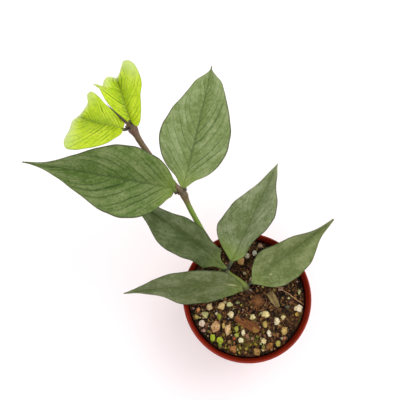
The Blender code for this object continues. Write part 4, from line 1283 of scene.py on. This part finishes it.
def leafMarks(node, tt, s, out):
    # pale places: rolled young ends, an old scratch beside a midrib, three dried sap dots
    if node.startswith("young"):
        rolled = smoothStep(0.5, 0.75, tt) * smoothStep(0.35, 1.0, out) * 0.75
        rolled = rolled + smoothStep(0.86, 1.0, tt) * 0.6
        return np.clip(rolled, 0, 0.85)
    if node == "leaf_lower_left":
        return np.exp(-((tt - 0.11) / 0.035) ** 2 - ((s - 0.3 + (tt - 0.11) * 3) / 0.09) ** 2) * 0.9
    marks = np.zeros(len(tt))
    if node == "leaf_lower_right":
        for a, b, r in ((0.2, 0.25, 0.012), (0.14, -0.1, 0.009), (0.28, -0.35, 0.008)):
            marks += np.exp(-((tt - a) / r) ** 2 - ((s - b) * 0.45 / r) ** 2)
    return marks


def thickenBlade(leaf, young, out):
    # fleshy in the middle, thin at the margin
    group = leaf.vertex_groups.new(name="flesh")
    for i, a in enumerate(out):
        group.add([i], float(1 - (1 - leafSettings["edgeShare"]) * a ** 5), 'REPLACE')
    solid = leaf.modifiers.new("flesh", 'SOLIDIFY')
    solid.thickness = leafSettings["youngThickness" if young else "thickness"]
    solid.offset = 0
    solid.vertex_group = "flesh"
    solid.thickness_vertex_group = 0.0
    makeActive(leaf)
    bpy.ops.object.mode_set(mode='EDIT')
    bpy.ops.mesh.select_all(action='SELECT')
    bpy.ops.mesh.remove_doubles(threshold=0.000004)
    bpy.ops.object.mode_set(mode='OBJECT')
    applyModifiers(leaf)
    bpy.ops.object.shade_smooth()


def makeStalk(node, name, surface):
    # stalk and midrib: one tapering cord from inside the stem to near the tip, under the blade
    middle, face, run, stalk = surface
    young = node.startswith("young")
    if young:
        start = middle[3][0]
        ridge = youngSurface(node, np.linspace(0, 0.93, 42) ** 1.2, np.zeros(42) + 1e-6)
        line = np.vstack([[start + (ridge[0] - start) * k for k in (0, 0.25, 0.5, 0.75)], ridge])
        spots = np.concatenate([[0], np.cumsum(np.linalg.norm(np.diff(line, axis=0), axis=1))])
        foot = np.linalg.norm(ridge[0] - start)
        length = spots[-1] - foot
        under = np.tile([0, 0, 1.0], (46, 1))
        end = spots[-1]
    else:
        foot = run[stalk]
        length = run[-1] - foot
        end = foot + length * 0.93
        spots = np.linspace(0, 1, 46) ** 1.25 * end
        line = hermite(run, middle[3], spots)
        under = hermite(run, face, spots)
    depth = smoothStep(foot - 0.5 * mm, foot + length * 0.06, spots)
    stout = leafSettings["stalkRadius"] * (0.85 if young else 1)
    thick = stout * (1 - 0.62 * smoothStep(foot, foot + length * 0.3, spots))
    thick = thick * (1 - 0.72 * smoothStep(foot + length * 0.3, end, spots))
    line = line - under * (depth * thick * 0.72)[:, None]
    if node not in leafRoots:                      # the stalk follows the stem's lean
        shift = np.array(stemShifts["young" if young else node.split("_")[1]]) * mm
        line = line + smoothStep(foot * 0.9 + 1.5 * mm, 0, spots)[:, None] * shift
    back = line[0] - line[1]
    sunk = 0.4 if node in leafRoots else 1.8       # how far it reaches into the stem, mm
    line = np.vstack([line[0] + back / np.linalg.norm(back) * sunk * mm, line])
    thick = np.concatenate([[thick[0] * 1.1], thick])
    rib = taperedTube(name, line, thick, 12)
    where = np.array([spots[np.argmin(((line[1:] - p) ** 2).sum(1))] for p in readPoints(rib)])
    dusky = node.startswith("leaf_upper") or young
    dark = np.array(toLinear("#352C22" if dusky else "#2A2A1C")[:3])
    green = np.array(toLinear("#8EA428" if young else "#6E7C3C")[:3])
    mix = smoothStep(foot * 0.55, foot * 1.25 + 1.5 * mm, where)[:, None]
    paintPoints(rib, "skin", dark * (1 - mix) + green * mix)
    rib.data.materials.append(skinMaterial)
    return rib


def makeLeaf(node):
    young = node.startswith("young")
    surface = leafSurface(node)
    deselectAll()
    bpy.ops.mesh.primitive_grid_add(x_subdivisions=leafSettings["along"],
                                    y_subdivisions=leafSettings["across"],
                                    size=1, location=(0, 0, 0), calc_uvs=True)
    leaf = bpy.context.active_object
    words = node.split("_")
    leaf.name = words[0] + "".join(word.capitalize() for word in words[1:])
    grid = readPoints(leaf)
    t = np.clip(grid[:, 0] + 0.5, 0, 1)            # along the blade
    s = np.clip(grid[:, 1] * 2, -1, 1)             # across it, -1 to 1
    out = np.abs(s)
    if young:
        pos, ups, relief = youngBlade(node, t, s, out)
        tt = t
    else:
        pos, ups, tt, relief, rows, width = grownBlade(node, t, s, out, surface)
    # soft unevenness of the blade and a gentle ripple of its edge
    seed = sum(ord(c) for c in node)
    uneven = np.array([noise.noise(Vector(p) * 70 + Vector((seed, 0, 0))) for p in pos])
    relief = relief + uneven * 0.9 * mm * out
    if not young:
        ripple = np.sin(2 * np.pi * (2.6 * tt + 0.3 * np.sign(s)) + seed)
        relief = relief + ripple * 0.6 * mm * out ** 3 * smoothStep(0, 0.3, tt)
    pos += ups * relief[:, None]
    if not young:
        pos = trimBlade(node, pos, ups, tt, s, rows, width, seed)
    writePoints(leaf, pos)

    face, light, veinTone, veinShow, glow = leafTones[node]
    for name, code in (("face", face), ("light", light), ("veinTone", veinTone)):
        paintPoints(leaf, name, np.tile(toLinear(code)[:3], (len(pos), 1)))
    markPoints(leaf, "veinShow", np.full(len(pos), veinShow))
    markPoints(leaf, "glow", np.full(len(pos), glow))
    markPoints(leaf, "marks", np.clip(leafMarks(node, tt, s, out), 0, 1))
    thickenBlade(leaf, young, out)
    leaf.data.materials.append(youngMaterial if young else bladeMaterial)

    rib = makeStalk(node, leaf.name + "Rib", surface)
    deselectAll()
    rib.select_set(True)
    leaf.select_set(True)
    bpy.context.view_layer.objects.active = leaf
    bpy.ops.object.join()
    finishPiece(leaf, [node])
    return surface[0][3][0]


leafStarts = {}
for leafName in leafTones:
    leafStarts[leafName] = Vector(makeLeaf(leafName))
print("leaves:", len(leafStarts))


stemSettings = {
    "sides": 20,
    "samples": 150,
    "green": "#6F8A30",
    "olive": "#6E7C34",
    "purple": "#6A583E",
    "black": "#26231C",
    "brown": "#4A3424",
    "blush": "#6E4A48",
    "leanReach": (6, 11, 8, 12),
}
stemLevels = ("lower", "middle", "upper", "young")


def makeStem():
    tip, rings = loftRings("stem", 10)
    centres = np.vstack([rings.mean(1), tip])
    radii = np.linalg.norm(rings - rings.mean(1)[:, None], axis=2).mean(1)
    radii = np.append(radii, 0.12 * mm)
    run = np.concatenate([[0], np.cumsum(np.linalg.norm(np.diff(centres, axis=0), axis=1))])
    spots = np.linspace(0, run[-1], stemSettings["samples"])
    line = hermite(run, centres, spots)
    thick = np.interp(spots, run, radii)
    pairs = [("leaf_lower_left", "leaf_lower_right"), ("leaf_middle_left", "leaf_middle_right"),
             ("leaf_upper_left", "leaf_upper_right"), ("young_leaf_left", "young_leaf_right")]
    joints = []
    for left, right in pairs:
        mid = np.array((leafStarts[left] + leafStarts[right]) / 2)
        joints.append(spots[np.argmin(((line - mid) ** 2).sum(1))])
    # the nodes swell a little more below the leaves, most of all under the young pair
    for joint in joints[:3]:
        thick = thick * (1 + 0.12 * np.exp(-((spots - joint + 1.5 * mm) / (1.6 * mm)) ** 2))
    swell = smoothStep(joints[2] + 2 * mm, joints[3] - 4 * mm, spots)
    swell = swell * smoothStep(joints[3] + 3 * mm, joints[3], spots)
    thick = thick * (1 + 0.22 * swell + 0.34 * np.exp(-((spots - joints[3] + 3 * mm) / (3.2 * mm)) ** 2))
    # the centre line leans over a little at each node
    for level, joint, reach in zip(stemLevels, joints, stemSettings["leanReach"]):
        near = np.exp(-((spots - joint) / (reach * mm)) ** 2)[:, None]
        line = line + near * np.array(stemShifts[level]) * mm
    stem = taperedTube("hoyaStem", line, thick, stemSettings["sides"])
    co = readPoints(stem)
    near = np.array([int(np.argmin(((line - p) ** 2).sum(1))) for p in co])
    away = co - line[near]
    bumps = np.array([noise.noise(Vector(p) * 260) + 0.5 * noise.noise(Vector(p) * 700) for p in co])
    co = co + away * (bumps * 0.07)[:, None]
    writePoints(stem, co)
    tones = {k: np.array(toLinear(stemSettings[k])[:3]) for k in ("green", "olive", "purple", "black",
                                                                  "brown", "blush")}
    where = spots[near]
    skin = np.zeros((len(co), 3)) + tones["brown"]

    def lay(tone, weight):
        return skin * (1 - weight[:, None]) + tones[tone] * weight[:, None]
    one, two, three, four = joints
    skin = lay("olive", smoothStep(one - 4 * mm, one + 2 * mm, where))
    skin = lay("green", smoothStep(two + 2 * mm, two + 8 * mm, where))
    skin = lay("purple", smoothStep(three - 13 * mm, three - 2 * mm, where))
    skin = lay("blush", np.exp(-((where - four + 5 * mm) / (3.5 * mm)) ** 2) * 0.6)
    skin = lay("black", np.exp(-((where - one) / (1.3 * mm)) ** 2) * 0.5)
    skin = lay("black", np.exp(-((where - two) / (2.0 * mm)) ** 2) * 0.95)
    skin = lay("black", np.exp(-((where - three - 1 * mm) / (1.4 * mm)) ** 2) * 0.55)
    skin = lay("black", np.exp(-((where - four) / (1.4 * mm)) ** 2) * 0.5)
    skin = lay("black", smoothStep(four + 1 * mm, four + 5 * mm, where) * 0.6)
    paintPoints(stem, "skin", skin)
    stem.data.materials.append(skinMaterial)

    # buds and root stubs at the nodes
    extras = []
    for k, joint in enumerate(joints):
        i = int(np.argmin(np.abs(spots - joint)))
        if k == 1:
            continue                               # hidden under the leaf that lies over it
        ahead = Vector(line[i + 1] - line[i - 1]).normalized()
        lean = Vector(stemShifts[stemLevels[k]]) * mm
        left, right = (leafStarts[n] + lean for n in pairs[k])
        sideways = (right - left).normalized()
        sideways = (sideways - ahead * sideways.dot(ahead)).normalized()
        third = ahead.cross(sideways)
        for way, size, lift in ((sideways, 0.75, 1.5), (-sideways, 0.75, 1.5), (third, 0.5, -0.8),
                                (-third, 0.45, -2.2)):
            bud = roughBit("bud", 2, (size * mm, size * mm, size * 1.7 * mm), 0.15, k * 2.3)
            turn = (ahead * 0.8 + way * 0.6).to_track_quat('Z', 'Y').to_matrix().to_4x4()
            spot = Vector(line[i]) + ahead * lift * mm + way * float(thick[i]) * 0.85
            if spot.z > mixMean + 1 * mm:
                bud.matrix_world = Matrix.Translation(spot) @ turn
                settlePlace(bud)
                bpy.ops.object.shade_smooth()
                tone = tones["purple"] * 0.7 + tones["black"] * 0.3
                paintPoints(bud, "skin", np.tile(tone, (len(bud.data.vertices), 1)))
                bud.data.materials.append(skinMaterial)
                extras.append(bud)
            else:
                bpy.data.objects.remove(bud)
    deselectAll()
    for bud in extras:
        bud.select_set(True)
    stem.select_set(True)
    bpy.context.view_layer.objects.active = stem
    bpy.ops.object.join()
    finishPiece(stem, ["stem"])
    print("stem:", len(stem.data.polygons), "faces")


makeStem()


def dryBark(name, dark, light, heading, width):
    # weathered bark: lengthwise ridges about half a millimetre wide, dull, redder in the breaks
    material, tree, shader = startMaterial(name)
    place = addNode(tree, "ShaderNodeTexCoord").outputs["Object"]
    run = addNode(tree, "ShaderNodeVectorRotate", {"rotation_type": 'Z_AXIS'},
                  {"Vector": place, "Angle": -math.radians(heading)})
    stretched = addNode(tree, "ShaderNodeVectorMath", {"operation": 'MULTIPLY'},
                        {0: run.outputs["Vector"], 1: (160, 1 / width, 400)})
    ridges = addNode(tree, "ShaderNodeTexNoise", None,
                     {"Vector": stretched.outputs["Vector"], "Scale": 1, "Detail": 6, "Roughness": 0.7,
                      "Distortion": 0.3})
    colour = addNode(tree, "ShaderNodeValToRGB", {"stops": [(0.36, dark), (0.64, light)]}, {"Fac": ridges})
    tree.links.new(colour.outputs["Color"], shader.inputs["Base Color"])
    shader.inputs["Roughness"].default_value = 0.88
    shader.inputs["Specular IOR Level"].default_value = 0.2
    bump = addNode(tree, "ShaderNodeBump", None,
                   {"Height": ridges.outputs["Fac"], "Strength": 1.0, "Distance": 0.0006})
    tree.links.new(bump.outputs["Normal"], shader.inputs["Normal"])
    return material


def slabFrame(node):
    # centre and principal directions of a flat solid
    points, _ = mergedMesh(node)
    centre = points.mean(0)
    _, _, axes = np.linalg.svd(points - centre)
    spread = (points - centre) @ axes.T
    return centre, axes, spread.min(0), spread.max(0)


def makeSlab(node, name, material, curl, rough, seed, longer=1.0):
    centre, axes, low, high = slabFrame(node)
    low[0], high[0] = low[0] * longer, high[0] * longer
    deselectAll()
    bpy.ops.mesh.primitive_cube_add(size=1, location=(0, 0, 0), calc_uvs=True)
    slab = bpy.context.active_object
    slab.name = name
    bpy.ops.object.mode_set(mode='EDIT')
    bpy.ops.mesh.select_all(action='SELECT')
    bpy.ops.mesh.subdivide(number_cuts=3)
    bpy.ops.object.mode_set(mode='OBJECT')
    smooth = slab.modifiers.new("round", 'SUBSURF')
    smooth.levels = smooth.render_levels = 2
    applyModifiers(slab)
    co = readPoints(slab)
    co = co / np.abs(co).max(0)
    half = (high - low) / 2
    mid = (high + low) / 2
    x, y, z = co.T
    taper = 1 - 0.35 * smoothStep(0.45, 1.0, np.abs(x + 0.15 * np.sin(seed)))
    ragged = np.array([noise.noise(Vector((a * 3, b * 2, c + seed))) for a, b, c in co])
    y = y * taper * (1 + 0.22 * ragged)
    x = x * (1 + 0.05 * ragged)
    z = z * (1 + rough * ragged) + curl * (y ** 2 - 0.5)
    local = np.stack([x, y, z], 1) * half + mid
    if axes[2][2] < 0:
        axes = axes * np.array([[1], [1], [-1]])
    writePoints(slab, local @ axes + centre)
    bpy.ops.object.mode_set(mode='EDIT')
    bpy.ops.mesh.select_all(action='SELECT')
    bpy.ops.mesh.normals_make_consistent(inside=False)
    bpy.ops.object.mode_set(mode='OBJECT')
    bpy.ops.object.shade_smooth()
    slab.data.materials.append(material)
    finishPiece(slab, [node])
    return slab


def makeLitter():
    makeSlab("bark_chip", "barkChip", dryBark("pineBarkRed", "#3E2010", "#925A30", -26, 0.7 * mm),
             0.25, 0.35, 1.0)
    makeSlab("bark_strip", "leafStrip", dryBark("driedLeafStrip", "#3E3018", "#9C8656", -62, 0.6 * mm),
             0.9, 0.3, 4.0, 1.3)

    low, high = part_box("coco_clump")
    centre, half = (low + high) / 2, (high - low) / 2
    clump = roughBit("coirClump", 5, tuple(half), 0.35, 2.0)
    co = readPoints(clump)
    for i, p in enumerate(co):
        co[i] = p * (1 + noise.noise(Vector(p) * 1600) * 0.14 + abs(noise.noise(Vector(p) * 700)) * 0.12)
    writePoints(clump, co * 0.95 + np.array(centre))
    makeActive(clump)
    bpy.ops.object.shade_smooth()
    paintPoints(clump, "tint", np.tile(toLinear("#6A4628")[:3], (len(co), 1)))
    clump.data.materials.append(tintedBits("coirClump", 0.92, 1300, 0.6, 0.0006))
    finishPiece(clump, ["coco_clump"])

    # the clump is bound with its own threads
    dice = random.Random(4)
    frayed = []
    for k in range(60):
        turn = dice.uniform(0, fullTurn)
        reach = half.x * dice.uniform(0.7, 2.1)
        sweep = dice.uniform(-1.2, 1.2)
        points = []
        for i in range(7):
            away = reach * (i / 6 - 0.25)
            x = centre.x + away * math.cos(turn + sweep * i / 6)
            y = centre.y + away * math.sin(turn + sweep * i / 6)
            top = mixHeight(x, y) + 0.3 * mm
            if math.hypot((x - centre.x) / half.x, (y - centre.y) / half.y) < 1:
                inside = 1 - ((x - centre.x) / half.x) ** 2 - ((y - centre.y) / half.y) ** 2
                top = max(top, centre.z + half.z * 0.95 * math.sqrt(inside))
            points.append((x, y, top + dice.uniform(0, 0.3) * mm))
        frayed.append(taperedTube(f"frayed{k}", points, [0.11 * mm] * 7, 4))
    paints = [toLinear(dice.choice(("#7A4A2A", "#9A6638", "#5A341E", "#8A5028", "#A87A48")))[:3]
              for thread in frayed for _ in range(len(thread.data.vertices))]
    deselectAll()
    for thread in frayed:
        thread.select_set(True)
    bpy.context.view_layer.objects.active = frayed[0]
    bpy.ops.object.join()
    binding = bpy.context.active_object
    binding.name = "clumpThreads"
    paintPoints(binding, "tint", np.array(paints))
    binding.data.materials.append(tintedBits("clumpThreads", 0.85, 2000, 0.4, 0.0001))
    finishPiece(binding, None)

    for node, name, code in (("fibre_strand", "looseFibre", "#C09468"),
                             ("fibre_curl", "curledFibre", "#5E5448")):
        points, _ = mergedMesh(node)
        centre = points.mean(0)
        _, _, axes = np.linalg.svd(points - centre)
        order = (points - centre) @ axes[0]
        line = []
        for a in np.linspace(order.min(), order.max(), 12):
            near = np.abs(order - a) < (order.max() - order.min()) / 11
            line.append(points[near].mean(0))
        line = np.array(line)
        spots = np.linspace(0, 11, 40)
        smoothLine = hermite(np.arange(12.0), line, spots)
        thickness = 0.26 * mm if node == "fibre_strand" else 0.22 * mm
        radii = thickness * (1 - 0.5 * np.abs(spots / 11 - 0.4)) * (1 + 0.1 * np.sin(spots * 4))
        fibre = taperedTube(name, smoothLine, radii, 8)
        paintPoints(fibre, "tint", np.tile(toLinear(code)[:3], (len(fibre.data.vertices), 1)))
        fibre.data.materials.append(tintedBits(name + "Skin", 0.7, 2500, 0.3, 0.0001))
        finishPiece(fibre, [node])
    print("bark, clump and fibres made")


makeLitter()
